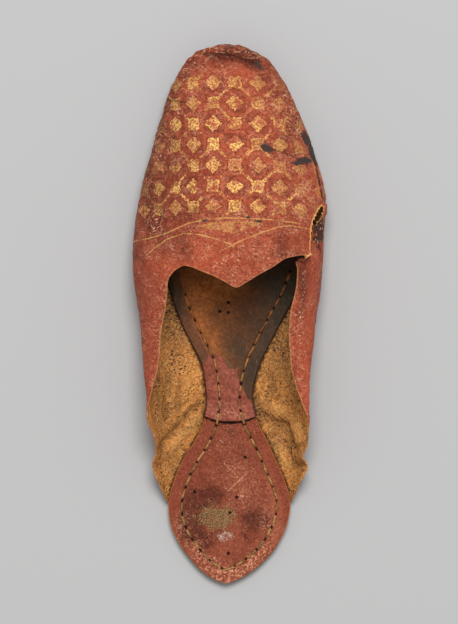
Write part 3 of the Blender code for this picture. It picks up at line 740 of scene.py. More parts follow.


# Its pale flecks and rubbed streaks are partly painted highlights; its shade and lit marks are painted shade
# and light
def goatskin():  # vegetable-tanned goatskin, dyed red and gilt with hot tools; dry pebbled grain, rubbed pale
    material, add, place, value = newMaterial("wornRedGoatskin", (
        "column", "row", "fold", "edgeGap", "cartouche", "gilding", "dirtAndShade", "scuff", "pale", "shade",
        "overBulge", "torn", "tearLip", "lift", "lit", *gildedLines, *creaseLines))
    broad = patches(add, place, 9.0, 0.35, 0.66, 4)
    small = patches(add, place, 1.9, 0.38, 0.64, 5, 0.65, offset=31.0)
    fine = patches(add, place, 0.9, 0.46, 0.64, 2, offset=57.0)
    # bright: pale flecks, partly rubbed grain and partly painted glints off the grain
    bright = patches(add, place, 0.95, 0.52, 0.64, 2, 0.6, offset=83.0)
    deep = patches(add, place, 1.15, 0.51, 0.63, 3, 0.6, offset=15.0)
    swirl = add("TexNoise", {"Vector": place, "Scale": 0.06, "Detail": 2.0}, "Color")
    swirl = add("VectorMath", {0: swirl, 1: (16, 16, 16), 2: place}, operation="MULTIPLY_ADD")
    streak = patches(add, swirl, 1.25, 0.53, 0.64, 3, 0.6, (0.45, 1.5, 1), 44.0)
    crease = patches(add, swirl, 1.7, 0.54, 0.66, 3, 0.6, (0.4, 1.5, 1), 91.0)
    bent = add("TexNoise", {"Vector": place, "Scale": 0.45, "Detail": 3.0}, "Color")
    bent = add("VectorMath", {0: bent, 1: (2.6, 2.6, 2.6), 2: place}, operation="MULTIPLY_ADD")
    grain = add("TexVoronoi", {"Vector": bent, "Scale": 1 / 0.9, "Randomness": 1.0}, "Distance",
                feature="DISTANCE_TO_EDGE")
    pore = add("MapRange", {"Value": grain, "From Min": 0.0, "From Max": 0.25})
    crackle = add("TexVoronoi", {"Vector": bent, "Scale": 1 / 3.0, "Randomness": 1.0}, "Distance",
                  feature="DISTANCE_TO_EDGE")
    crack = add("MapRange", {"Value": crackle, "From Min": 0.09, "From Max": 0.03})
    crackRim = within(add, crackle, 0.03, 0.02, centre=0.10)
    # Gilt lattice: squares where column and row add up to an even number, diamonds between, joined by lines
    wobble = add("VectorMath", {0: add("TexNoise", {"Vector": place, "Scale": 0.55, "Detail": 2.0}, "Color"),
                                1: (-0.5, -0.5, -0.5)}, operation="ADD")
    wobble = add("VectorMath", {0: wobble, 1: (0.20, 0.20, 0.0)}, operation="MULTIPLY")
    serrated = add("TexNoise", {"Vector": place, "Scale": 1.7, "Detail": 1.0}, "Color")
    serrated = add("VectorMath", {0: serrated, 1: (0.13, 0.13, 0.0), 2: (-0.065, -0.065, 0.0)},
                   operation="MULTIPLY_ADD")
    wobble = add("VectorMath", {0: wobble, 1: serrated}, operation="ADD")
    charted = add("CombineXYZ", {0: value["column"], 1: value["row"], 2: 0.0})
    charted = add("VectorMath", {0: charted, 1: wobble}, operation="ADD")
    split = add("SeparateXYZ", {0: charted}, "X").node
    column, row = split.outputs["X"], split.outputs["Y"]
    offsets, nearest = [], []
    for axis in (column, row):
        whole = add("Math", {0: axis}, operation="ROUND")
        nearest.append(whole)
        offset = add("Math", {0: axis, 1: whole}, operation="SUBTRACT")
        offsets.append(add("Math", {0: offset}, operation="ABSOLUTE"))
    even = add("Math", {0: add("Math", {0: nearest[0], 1: nearest[1]}, operation="ADD"), 1: 2.0},
               operation="FLOORED_MODULO")
    odd = add("Math", {0: 1.0, 1: even}, operation="SUBTRACT")
    boxed = most(add, *offsets)
    tilted = add("Math", {0: offsets[0], 1: offsets[1]}, operation="ADD")
    square = product(add, even, within(add, boxed, 0.285, 0.015))
    squareGap = product(add, even, within(add, boxed, 0.025, 0.02, centre=0.17))
    rosette = product(add, odd, within(add, tilted, 0.40, 0.02))
    rosetteGap = product(add, odd, within(add, tilted, 0.02, 0.02, centre=0.27))
    tooled = most(add, product(add, even, within(add, boxed, 0.02, 0.01, centre=0.325)),
                  product(add, odd, within(add, tilted, 0.025, 0.01, centre=0.455)))
    diagonals = []
    for operation in ("ADD", "SUBTRACT"):
        wave = add("Math", {0: column, 1: row}, operation=operation)
        for step, amount in (("FLOORED_MODULO", 2.0), ("SUBTRACT", 1.0), ("ABSOLUTE", 0.0)):
            wave = add("Math", {0: wave, 1: amount}, operation=step)
        diagonals.append(within(add, wave, 0.032, 0.02, centre=0.045))
    between = add("MapRange", {"Value": tilted, "From Min": 0.44, "From Max": 0.52})
    lineKept = patches(add, place, 7.0, 0.42, 0.56, 3, 0.6, offset=37.0)
    diagonal = product(add, most(add, *diagonals), between, lineKept, 1.1)
    ring = product(add, odd, add("MapRange", {"Value": tilted, "From Min": 0.42, "From Max": 0.50}),
                   patches(add, place, 8.0, 0.40, 0.58, 3, 0.6, offset=52.0))
    speck = patches(add, place, 0.8, 0.43, 0.53, 2, offset=9.0)
    leafWorn = patches(add, place, 4.5, 0.36, 0.52, 4, 0.65, offset=71.0)
    gaps = product(add, most(add, squareGap, rosetteGap), 0.6)
    leaf = product(add, most(add, square, rosette), add("Math", {0: 1.0, 1: gaps}, operation="SUBTRACT"))
    cell = add("TexWhiteNoise", {"Vector": add("CombineXYZ", {0: nearest[0], 1: nearest[1]})}, "Value")
    leaf = product(add, leaf, add("MapRange", {"Value": cell, "To Min": 0.5, "To Max": 1.15}))
    gilt = product(add, most(add, leaf, diagonal), value["gilding"], leafWorn,
                   add("MapRange", {"Value": speck, "To Min": 0.12, "To Max": 1.1}))
    line = most(add, *[within(add, value[name], 0.25, 0.18) for name in gildedLines])
    lineWorn = patches(add, place, 2.2, 0.36, 0.56, 4, 0.7)
    panel = product(add, add("MapRange", {"Value": value["cartouche"], "From Min": 0.0, "From Max": 0.4}),
                    speck, leafWorn, 0.36)
    gold = most(add, gilt, product(add, line, lineWorn, 0.62), panel, clamp=True)
    # Wear: pale rubbed flecks (partly painted highlights), dirt with painted shade in the folds, dark scuffs,
    # the raw edge
    fleckField = patches(add, place, 5.0, 0.40, 0.62, 3, offset=5.0)
    keel = product(add, within(add, value["overBulge"], 1.0, 0.8),
                   patches(add, place, 3.0, 0.40, 0.60, 3), 0.6)
    worn = most(add, add("Math", {0: 0.22, 1: value["pale"]}, operation="ADD"), keel)
    # hump and rubbed: pale rubbed wear, partly painted highlights along the streaks and on the relief's humps
    hump = add("MapRange", {"Value": value["lift"], "From Min": 0.05, "From Max": 0.25})
    rubbed = most(add, product(add, streak, worn, fleckField), product(add, value["pale"], streak, 0.85),
                  product(add, crackRim, streak, value["dirtAndShade"], 0.8),
                  product(add, hump, streak, value["dirtAndShade"], 0.9), clamp=True)
    # Dark lines along the drawn folds: painted fold shadow, and a crack along foldMiddle
    folds = []
    for name in creaseLines:
        fold = add("Math", {0: value[name], 1: product(add, small, 0.5)}, operation="ADD")
        half, soft, strength = (0.5, 0.25, 1.0) if name == "foldRight" else (0.32, 0.15, 0.6)
        folds.append(product(add, within(add, fold, half, soft), strength))
    crackAndFoldShadow = product(add, most(add, *folds), patches(add, place, 3.0, 0.30, 0.50, 3, offset=12.0))
    litEdge = product(add, within(add, value["foldRight"], 0.45, 0.25, centre=-1.2),
                      patches(add, place, 2.5, 0.38, 0.55, 3, offset=88.0))
    # Painted shade: the creases' troughs and the relief's valleys darken along with the dirt marks
    trough = add("MapRange", {"Value": value["fold"], "From Min": -0.15, "From Max": -0.9})
    valley = add("MapRange", {"Value": value["lift"], "From Min": 0.02, "From Max": -0.16})
    dirtField = patches(add, place, 2.2, 0.36, 0.60, 4, 0.65)
    soiled = add("Math", {0: value["dirtAndShade"], 1: 0.2}, operation="ADD")
    dirtAndShade = most(add, product(add, value["dirtAndShade"], dirtField), product(add, trough, 0.45),
                product(add, valley, 0.8, soiled), clamp=True)
    scuffEdge = patches(add, place, 1.6, 0.2, 0.8, 4)
    scuff = add("MapRange", {"Value": add("Math", {0: value["scuff"], 1: product(add, scuffEdge, 0.5)},
                                          operation="ADD"), "From Min": 0.62, "From Max": 0.85})
    edgeLine = add("Math", {0: value["edgeGap"], 1: product(add, fine, 0.5)}, operation="SUBTRACT")
    edgeLine = add("MapRange", {"Value": edgeLine, "From Min": 0.30, "From Max": 0.05})
    edgeLine = product(add, edgeLine, add("Math", {0: 1.0, 1: value["shade"]}, operation="SUBTRACT"))
    cracked = product(add, crack, add("Math", {0: value["dirtAndShade"], 1: 0.25}, operation="ADD"), 0.85)
    wrinkle = product(add, crease, add("Math", {0: value["dirtAndShade"], 1: 0.12}, operation="ADD"), 0.9)
    torn = add("Math", {0: value["torn"], 1: product(add, scuffEdge, 0.6)}, operation="ADD")
    torn = add("MapRange", {"Value": torn, "From Min": 0.62, "From Max": 0.9})
    tornBare = product(add, torn, patches(add, place, 1.9, 0.58, 0.63, 3, 0.6, offset=64.0))
    rawLip = add("Math", {0: value["tearLip"], 1: product(add, small, 0.35)}, operation="ADD")
    rawLip = add("MapRange", {"Value": rawLip, "From Min": 1.1, "From Max": 0.85})
    dull = add("MapRange", {"Value": value["gilding"], "From Min": 0.85, "From Max": 0.3})
    colour = layered(
        add, "#a54c34", (product(add, broad, 0.6), "#b96044"), (product(add, small, 0.6), "#8a3823"),
        (product(add, deep, 0.65), "#642514"), (product(add, bright, fleckField, 0.7), "#e6a886"),
        (product(add, fine, 0.3), "#c46c4c"), (product(add, value["lit"], 0.55), "#cf5f3e"),
        (value["shade"], "#602618"), (product(add, ring, value["gilding"], 0.55), "#68241a"),
        (product(add, tooled, value["gilding"], 0.55), "#4f1a10"),
        (dirtAndShade, "#4a2014"), (cracked, "#3f1c12"), (wrinkle, "#42190f"), (gold, "#f7c670"),
        (product(add, gold, dull, 0.8), "#a3703a"), (rubbed, "#e8ae8a"),
        (product(add, litEdge, 0.7), "#d47a45"), (product(add, crackAndFoldShadow, 0.9), "#2a110a"),
        (product(add, torn, 0.92), "#35201a"), (tornBare, "#d09a78"), (rawLip, "#e39c48"),
        (product(add, rawLip, small, 0.6), "#e8b48c"),
        (scuff, "#433430"), (product(add, edgeLine, 0.8), "#c98055"))
    roughness = add("MapRange", {"Value": add("Math", {0: small, 1: gold}, operation="SUBTRACT"),
                                 "From Min": -1.0, "From Max": 1.0, "To Min": 0.42, "To Max": 0.68})
    creases = add("TexVoronoi", {"Vector": place, "Scale": 1 / 3.4}, "Distance", feature="DISTANCE_TO_EDGE")
    crackDeep = add("MapRange", {"Value": creases, "From Min": 0.0, "From Max": 0.05, "To Min": -0.10,
                                 "To Max": 0.0})
    height = relief(
        add, (pore, 0.12), (small, 0.16), (bright, 0.10), (deep, -0.10), (gold, -0.07), (cracked, -0.18),
        (wrinkle, -0.22), (crackAndFoldShadow, -0.35), (rubbed, 0.10), (tornBare, 0.35), (crackDeep, 1.0))
    finished(add, colour, roughness, height, {"IOR": 1.5, "Specular IOR Level": 0.13})
    return material


# Its colour also holds painted shade near the sole, in the folds, along the toplines and by the tear, and
# painted highlight on the folds' ridges
def fleshSide():  # the skin's undyed inner side, tanned and dark with age: matt, fibrous, spotted
    material, add, place, value = newMaterial(
        "tannedFleshSide", ("fold", "edgeGap", "dirtAndShade", "shade", "footGap", "lift", "tearLip"))
    broad = patches(add, place, 8.0, 0.34, 0.66, 4)
    small = patches(add, place, 2.0, 0.38, 0.62, 5, 0.65, offset=12.0)
    fine = patches(add, place, 0.8, 0.46, 0.62, 2, 0.6, offset=93.0)
    spots = patches(add, place, 1.05, 0.55, 0.61, 2, 0.6, offset=27.0)
    spotField = patches(add, place, 7.0, 0.38, 0.62, 3, offset=3.0)
    spotField = most(add, spotField, product(add, value["dirtAndShade"], 1.4), clamp=True)
    dirtAndShade = product(add, value["dirtAndShade"], patches(add, place, 2.6, 0.30, 0.56, 4, 0.65, offset=18.0))
    # valley, trough and ridge follow the relief: painted shade in its valleys and troughs, painted highlight
    # on its ridges
    valley = add("MapRange", {"Value": value["lift"], "From Min": 0.02, "From Max": 0.22})
    footShade = add("MapRange", {"Value": add("Math", {0: value["footGap"], 1: product(add, small, -0.9)},
                                              operation="ADD"), "From Min": 1.9, "From Max": 0.5})
    trough = add("MapRange", {"Value": value["fold"], "From Min": 0.1, "From Max": 0.9})
    ridge = add("MapRange", {"Value": value["fold"], "From Min": -0.1, "From Max": -1.0})
    # Painted shade: the inner side darkens near the tear, where it is seen through the hole
    colour = layered(
        add, "#bd783a", (product(add, broad, 0.6), "#d58f48"), (product(add, small, 0.55), "#925625"),
        (product(add, fine, 0.65), "#e3ab6c"), (product(add, ridge, 0.4), "#daa05c"),
        (product(add, trough, 0.4), "#6f4a26"), (value["shade"], "#5e3f24"), (dirtAndShade, "#453020"),
        (product(add, valley, small, 0.5), "#74502a"), (product(add, footShade, 0.85), "#35210f"),
        (add("MapRange", {"Value": value["tearLip"], "From Min": 7.0, "From Max": 3.0}), "#1a0e07"),
        (product(add, spots, spotField, 0.95), "#312318"), (product(add, fine, dirtAndShade, 0.7), "#cf9a62"),
        (add("MapRange", {"Value": value["edgeGap"], "From Min": 0.8, "From Max": 0.3}), "#c98646"))
    height = relief(add, (small, 0.30), (fine, 0.12), (spots, -0.12))
    roughness = add("MapRange", {"Value": small, "To Min": 0.62, "To Max": 0.82})
    finished(add, colour, roughness, height, {"IOR": 1.5, "Specular IOR Level": 0.14})
    return material


def rawCutEdge():  # skin cut with a knife: open tan fibres, matt
    material, add, place, _ = newMaterial("rawCutEdge")
    small = patches(add, place, 1.2, 0.36, 0.64, 4)
    colour = layered(add, "#b47a45", (product(add, small, 0.7), "#85502a"))
    finished(add, colour, 0.8, product(add, small, 0.15), {"IOR": 1.5, "Specular IOR Level": 0.3})
    return material


pinholes = ((7.5, -66.5), (-15.9, -82.6), (3.5, -85), (0.5, -92.2), (-0.3, -111.2), (-4.3, 1.3), (-0.3, 0.8),
            (-0.3, 5.5))  # nail holes, mm


# Its colour also holds painted light and shade where the vamp covers the front insole, and a painted shadow
# behind the lap
def insoleLeather(name, dark):  # dyed sheepskin, polished and darkened by the foot, finely scratched
    material, add, place, value = newMaterial(
        name, ("seamDistance", "seamCount", "edgeGap", "warm", "scrape", "lapGap", *insoleMarks))
    broad = patches(add, place, 8.0, 0.34, 0.66, 4)
    flat = add("VectorMath", {0: place, 1: (1, 1, 0)}, operation="MULTIPLY")
    pins = None
    for pin in pinholes:
        reach = add("VectorMath", {0: flat, 1: (*pin, 0)}, "Value", operation="DISTANCE")
        pins = reach if pins is None else add("Math", {0: pins, 1: reach}, operation="MINIMUM")
    pins = add("MapRange", {"Value": pins, "From Min": 0.85, "From Max": 0.5})
    small = patches(add, place, 1.7, 0.38, 0.62, 5, 0.65, offset=22.0)
    fine = patches(add, place, 0.7, 0.46, 0.62, 2, 0.6, offset=49.0)
    bright = patches(add, place, 0.8, 0.56, 0.66, 3, 0.6, offset=66.0)
    deep = patches(add, place, 0.9, 0.54, 0.66, 3, 0.6, offset=77.0)
    scratch = patches(add, place, 2.2, 0.60, 0.68, 4, 0.6, (3.2, 0.35, 1))
    crack = add("TexVoronoi", {"Vector": place, "Scale": 1 / 2.2}, "Distance", feature="DISTANCE_TO_EDGE")
    crack = add("MapRange", {"Value": crack, "From Min": 0.05, "From Max": 0.0})
    outer = add("MapRange", {"Value": value["seamDistance"], "From Min": 0.6, "From Max": 1.6})
    brightField = patches(add, place, 6.0, 0.44, 0.60, 3, offset=7.0)
    raggedNoise = patches(add, place, 3.0, 0.2, 0.8, 4, 0.65, offset=55.0)
    # The dark marks: real soot on the heel pad, painted shade on the front insole under the vamp and in the
    # throat's corners
    sootAndShade = add("MapRange", {"Value": add("Math", {0: value["sootAndShade"], 1: product(add, raggedNoise, 0.5)},
                                         operation="ADD"), "From Min": 0.48, "From Max": 0.85})
    stain = add("Math", {0: product(add, raggedNoise, 0.4), 1: product(add, fine, 0.35)}, operation="ADD")
    stain = add("MapRange", {"Value": add("Math", {0: value["stain"], 1: stain}, operation="ADD"),
                             "From Min": 0.65, "From Max": 0.95})
    if dark:
        colour = layered(
            add, "#683a1e", (product(add, broad, 0.5), "#7c4524"),
            (product(add, value["toneAndPaintedLight"], 0.9), "#c87435"), (product(add, small, 0.45), "#552c15"),
            (product(add, fine, 0.25), "#a06c40"), (product(add, outer, 0.65), "#4f3527"),
            (value["sootAndShade"], "#32261d"), (product(add, raggedNoise, value["sootAndShade"], 0.35), "#4c4a33"),
            (value["warm"], "#8c4a38"), (product(add, broad, value["warm"], 0.6), "#a55d49"),
            (product(add, small, value["warm"], 0.7), "#6a2e22"), (product(add, deep, 0.4), "#2b1a11"))
    else:
        colour = layered(
            add, "#7b3a26", (product(add, broad, 0.6), "#914830"), (product(add, small, 0.6), "#652a1a"),
            (product(add, outer, 0.3), "#8c452e"), (product(add, value["toneAndPaintedLight"], 0.7), "#a85b40"),
            (product(add, sootAndShade, add("MapRange", {"Value": small, "To Min": 0.6, "To Max": 0.95})), "#4a1e14"),
            (product(add, deep, 0.65), "#421a10"), (product(add, bright, brightField, 0.6), "#c4815f"))
    # Painted shadow: a dark ragged line on the heel pad just behind the front insole's lifted lip
    lapShadow = add("Math", {0: value["lapGap"], 1: product(add, raggedNoise, 1.1)}, operation="ADD")
    lapShadow = product(add, add("MapRange", {"Value": lapShadow, "From Min": 1.7, "From Max": 1.2}),
                       add("MapRange", {"Value": value["lapGap"], "From Min": -2.0, "From Max": -1.9}))
    scrape = add("MapRange", {"Value": add("Math", {0: value["scrape"], 1: product(add, fine, 0.25)},
                                           operation="ADD"), "From Min": 0.46, "From Max": 0.2})
    chalk = add("MapRange", {"Value": add("Math", {0: value["pale"], 1: product(add, raggedNoise, 0.4)},
                                          operation="ADD"), "From Min": 0.65, "From Max": 0.8})
    hole = value["seamCount"]
    for step, amount in (("FRACT", 0.0), ("SUBTRACT", 0.5), ("ABSOLUTE", 0.0), ("SUBTRACT", 0.5),
                         ("MULTIPLY", seamLook["pitch"] / mm * seamLook["holeSpread"])):
        hole = add("Math", {0: hole, 1: amount}, operation=step)
    across = product(add, value["seamDistance"], value["seamDistance"])
    apart = add("Math", {0: product(add, hole, hole), 1: across}, operation="ADD")
    hole = add("MapRange", {"Value": apart, "From Min": 0.42, "From Max": 0.14})
    # groove: painted shade in the seam's groove beside the thread
    groove = within(add, value["seamDistance"], 0.45, 0.4)
    # rim: on the dark front insole a painted shadow along its raised edge, on the heel pad the tan cut edge
    rim = add("MapRange", {"Value": value["edgeGap"], "From Min": 0.55, "From Max": 0.15})
    flake = patches(add, place, 1.4, 0.49, 0.56, 6, 0.85, offset=35.0)
    rubFleck = patches(add, place, 1.0, 0.48, 0.60, 5, 0.75, offset=29.0)
    colour = layered(
        add, colour, (product(add, value["rub"], rubFleck, 0.95), "#dc9b79"),
        (product(add, stain, add("MapRange", {"Value": small, "To Min": 0.75, "To Max": 0.3})), "#6f5c38"),
        (product(add, stain, fine, 0.45), "#a38d5c"), (product(add, stain, deep, 0.9), "#2e2014"),
        (product(add, chalk, flake, 0.6), "#c9b9a9"),
        (product(add, scrape, 0.3 if dark else 0.6), "#8f8a70" if dark else "#d3a283"),
        (product(add, lapShadow, 0.92), "#140906"),
        (product(add, scratch, 0.12), "#b98468"), (product(add, groove, 0.7), "#331b12"),
        (product(add, hole, 0.95), "#1a0f0a"), (pins, "#120a06"),
        (product(add, rim, 0.8), "#2c1a10" if dark else "#b8723f"))
    height = relief(add, (small, 0.08), (fine, 0.03), (hole, -0.5), (crack, -0.05), (bright, 0.07),
                    (pins, -0.6))
    roughness = add("MapRange", {"Value": small, "To Min": 0.45 if dark else 0.55, "To Max": 0.68})
    finished(add, colour, roughness, height, {"IOR": 1.5, "Specular IOR Level": 0.12})
    return material


def soleLeather():  # thick vegetable-tanned ox hide, dried and trodden flat; matt with scratches underneath
    material, add, place, _ = newMaterial("vegetableTannedSoleLeather")
    broad = patches(add, place, 14.0, 0.34, 0.68, 4)
    small = patches(add, place, 2.2, 0.36, 0.64, 5, 0.65)
    scratch = patches(add, place, 2.6, 0.60, 0.68, 4, 0.6, (2.6, 0.4, 1))
    colour = layered(add, "#86603f", (product(add, broad, 0.6), "#6d4a30"),
                     (product(add, small, 0.5), "#9a7350"), (product(add, scratch, 0.6), "#4d3626"))
    finished(add, colour, 0.72, relief(add, (scratch, -0.08), (small, 0.12)), {"IOR": 1.5})
    return material


def waxedThread():  # two-ply linen thread, waxed and dirty: tan, slightly glossy
    material, add, place, _ = newMaterial("waxedLinenThread")
    small = patches(add, place, 0.7, 0.36, 0.64, 3)
    dark = patches(add, place, 3.5, 0.40, 0.60, 3, offset=14.0)
    front = add("SeparateXYZ", {0: place}, "Y")
    front = add("MapRange", {"Value": front, "From Min": -45.0, "From Max": -5.0})
    colour = layered(add, "#b98c54", (product(add, front, 0.9), "#b0672f"),
                     (product(add, small, 0.6), "#6b4623"), (product(add, dark, 0.6), "#4a321d"))
    finished(add, colour, 0.6, product(add, small, 0.12), {"IOR": 1.5, "Specular IOR Level": 0.2})
    return material


print("materials ready")

# Marks on the vamp: centre, half length, half width (mm), turn (degrees), strength
dirtMarks = (
    ((0.3, 120.8), 17, 4, 0, 0.8), ((11.1, 117.8), 9, 4, -28, 0.8), ((-18.3, 114.8), 10, 4, 38, 0.4),
    ((-28.5, 102.1), 8, 12, 20, 0.35), ((-33.3, 83), 9, 15, 8, 0.5), ((-36.9, 58.9), 7, 20, 5, 0.55),
    ((-32.7, 42.8), 7, 9, 0, 0.6), ((20.1, 110), 10, 6, -40, 0.35), ((30.3, 86), 5, 12, -15, 0.35),
    ((-22.5, 45.1), 8, 4, 10, 0.35), ((-20.1, 29.5), 3, 8, -12, 0.25), ((-42.9, 24.8), 3, 18, 2, 0.25))
scuffMarks = (
    ((18.3, 77.2), 3.2, 3.2, 20, 1.0), ((34.5, 70.6), 6.0, 1.9, 8, 1.0), ((35.7, 81.8), 2.2, 4.0, 20, 1.0),
    ((39, 74), 1.4, 6.0, 15, 1.0), ((9.3, 44.5), 3.4, 1.0, 0, 0.85), ((14.7, 43.6), 4.0, 0.9, -4, 0.7),
    ((15.3, 115.3), 5.0, 1.4, -25, 0.7), ((-11.1, 43), 1.8, 0.8, 10, 0.75))
paleMarks = (
    ((32.7, 83.5), 4, 2.4, -40, 0.9), ((29.1, 90.8), 6, 12, -25, 0.6), ((24.3, 102.8), 6, 9, -35, 0.5),
    ((11.1, 121.9), 14, 2.2, -12, 0.7), ((-11.7, 121.9), 9, 1.8, 18, 0.7), ((-21.3, 111.1), 8, 3, 35, 0.6),
    ((-27.3, 98), 6, 6, 30, 0.5), ((-32.1, 74), 5, 8, 0, 0.5), ((33.6, -8.8), 1.6, 26, 0, 1.0),
    ((33.9, 48.8), 3.5, 9, 0, 0.6), ((35.7, 58.9), 3, 8, 0, 0.5), ((-35.7, 1.9), 3, 14, 4, 0.35),
    ((-33.3, 42.8), 3.4, 5, 20, 1.0), ((-17.1, 120.1), 6, 3, 30, 0.6), ((-2.1, 10.9), 10, 3, -20, 0.4),
    ((-39.9, -10), 2, 20, 3, 0.4))
gildedMarks = (
    ((-2.1, 58.9), 32, 17, 0, 1.05), ((0.3, 83), 27, 20, 0, 1.0), ((-5.7, 102.8), 20, 9, 0, 0.85),
    ((-23.7, 58.9), 14, 16, 0, 0.5), ((29.1, 52.9), 9, 9, 0, 0.75), ((-36.9, 46.9), 8, 9, 0, 0.55),
    ((-21.3, 92), 10, 14, 20, 0.75), ((20.1, 95), 12, 12, -20, 0.6))
shadeMarks = (
    ((-40.5, 1.9), 5, 40, 2, 0.3), ((-39.3, -22.1), 5, 24, 2, 0.25), ((34.5, 7.9), 3, 30, -2, 0.3),
    ((-27.3, 92), 16, 24, 12, 0.1), ((33.3, 14.5), 3, 20, 2, 0.9), ((-21.9, 63.1), 9, 24, 4, 0.5),
    ((-27.3, 32.5), 5, 9, 10, 0.45), ((-30.9, 61.9), 12, 30, 4, 0.2), ((1.5, 120.1), 18, 5, 0, 0.4),
    ((25.5, 31.9), 5, 10, -8, 0.4), ((11.1, 115.9), 12, 6, -30, 0.25))
tornMarks = (
    ((41.4, 40.9), 2.6, 5.6, 4, 1.1), ((40.8, 34.4), 2.4, 2.6, 0, 1.0), ((41.4, 30.1), 2.0, 4.0, 0, 0.6),
    ((43.8, 47.5), 1.6, 3.0, 0, 0.5))
litMarks = (((36.3, -10), 5, 44, 0, 1.0), ((-39.3, -10), 5, 34, 0, 0.6), ((42.3, 34.9), 2, 12, 0, 0.6),
            ((-26.1, 21.1), 8, 8, 0, 0.6), ((-14.7, 28.3), 6, 7, 0, 0.6), ((41.7, 58.9), 3, 10, 10, 0.6),
            ((0.3, 83), 22, 28, 0, 0.45), ((-2.1, 58.9), 26, 12, 0, 0.35), ((-12.3, 23.6), 9, 5, 15, 0.6),
            ((-15.3, 121.3), 7, 5, 30, 0.9), ((11.1, 111.1), 14, 8, -20, 0.5))
gildedLines = dict(
    lineOne=((-47.7, 32.2), (-43.5, 33.8), (-36.9, 35.1), (-28.8, 37.4), (-18.9, 41.9), (-11.4, 43.6),
             (-2.1, 44.4), (8.1, 44.2), (18.1, 43.7), (31.5, 42.1)),
    lineTwo=((-36.9, 28.3), (-33.3, 31.3), (-28.8, 34.5), (-21.3, 37.2), (-14.1, 36.8), (-5.4, 34.5),
             (0.9, 32.2)),
    lineThree=((-2.1, 30.1), (4.8, 33.5), (14.7, 37.5), (22.7, 40.2), (28.1, 40.8), (36.6, 39.5)))
throatLine, gildingFoot = 24.8 * mm, 44.5 * mm
cartoucheTop = np.array([(-16.5, 40.9), (-8.7, 42.4), (-0.3, 43), (9.3, 43), (17.7, 42.5)]) * mm
cartoucheFoot = np.array([(-16.5, 40.9), (-6.9, 38.5), (2.4, 37), (9.9, 39.4), (17.7, 42.5)]) * mm

# Marks inside the quarters: dirt, and painted shade along the left topline, in the throat's corners and
# beside the right topline
fleshDirtAndShade = (
    ((-23.7, 1.9), 8, 18, -6, 0.85), ((-26.1, -16.1), 5, 16, 0, 0.4), ((-6.9, -43), 5, 6, 0, 0.6),
    ((12.3, -44.9), 6, 7, -20, 0.8), ((26.1, 6.1), 3.2, 22, 8, 0.9), ((17.1, -28.1), 3, 14, 14, 0.4),
    ((21.9, -13), 7, 16, 20, 0.75), ((-33.3, -29.2), 1.6, 34, 3, 0.7), ((-27.3, 11.5), 2, 14, -6, 0.9),
    ((-24.9, -70), 5, 8, 20, 0.4), ((-24.9, -42.4), 5, 6, 0, 0.2), ((-16.5, -74.8), 3, 14, 25, 0.6),
    ((18.3, -64), 5, 16, -22, 0.6), ((32.7, -70), 4, 4, 0, 0.5), ((30.9, -37), 4, 12, -8, 0.35),
    ((-16.5, -50.9), 7, 3, 30, 0.4))


def paintUpper(upper, kept):
    points = vertexPlaces(upper.data)
    lattice, edges, folds = kept["lattice"], kept["edges"], kept["folds"]
    values = dict(column=lattice[:, 0], row=lattice[:, 1], edgeGap=edges[:, 0], fold=folds[:, 0],
                  lift=folds[:, 1], footGap=kept["feet"][:, 0])
    for name, line in (*gildedLines.items(), *creaseLines.items()):
        distance, side, _ = lineDistance(points, line)
        values[name] = side * distance / mm
    top = np.interp(points[:, 0], cartoucheTop[:, 0], cartoucheTop[:, 1])
    foot = np.interp(points[:, 0], cartoucheFoot[:, 0], cartoucheFoot[:, 1])
    beyond = np.maximum(cartoucheTop[0, 0] - points[:, 0], points[:, 0] - cartoucheTop[-1, 0])
    values["cartouche"] = np.minimum(np.minimum(top - points[:, 1], points[:, 1] - foot), -beyond) / mm
    shift = randomField(points, 0.006, 3)[:, None] * (0.002, 0.0015, 0)
    rubbed = points + shift
    values["dirtAndShade"] = np.where(points[:, 1] < throatLine, blotches(rubbed, fleshDirtAndShade) * kept["feet"][:, 1],
                              blotches(rubbed, dirtMarks))
    values["scuff"] = blotches(rubbed, scuffMarks)
    values["pale"] = blotches(rubbed, paleMarks)
    values["gilding"] = np.clip(blotches(rubbed, gildedMarks) * 1.15, 0, 1)
    values["gilding"] *= (points[:, 1] > gildingFoot) * ease(-points[:, 1], -114.8 * mm, -110 * mm)
    values["shade"] = blotches(rubbed, shadeMarks)
    values["lit"] = blotches(rubbed, litMarks)
    values["overBulge"] = edges[:, 1]
    side = lineDistance(points, tearLine)[1]
    values["torn"] = blotches(rubbed, tornMarks) * (side < 0) * ease(points[:, 2], 0.010, 0.016)
    for name, field in values.items():
        setAttribute(upper.data, name, field)


print("upper's charts ready")

# Insoles and sole: thin plates that follow the sole, with rounded rims
plateLook = dict(rimRadius=0.0009, unevenness=0.16, lipLift=1.0, unevenSize=0.008, columns=64, rows=210,
                 tipInset=0.0005, rowCrowding=0.45, columnCrowding=0.5, bowLength=0.02, lipLength=0.0055,
                 rimDepth=0.45, rimBelow=0.6, topShare=0.8, curlMiddle=0.6, curlCorners=0.5, fray=0.25,
                 fraySize=0.003, frayLength=0.004)
seamLook = dict(inset=0.0062, pitch=0.0064, stitchLength=0.0052, threadWidth=0.0011, sag=0.0007,
                crookedness=0.13, seed=4, dimple=0.45, dimpleReach=0.0009, leftEnd=9.2, rightEnd=21.1,
                step=0.0008, slopeStep=0.0012, riseShare=0.05, holeSpread=0.62, handleShare=0.72, block=4000,
                dimpleSpread=0.7, grooveShare=0.35, grooveReach=0.9)


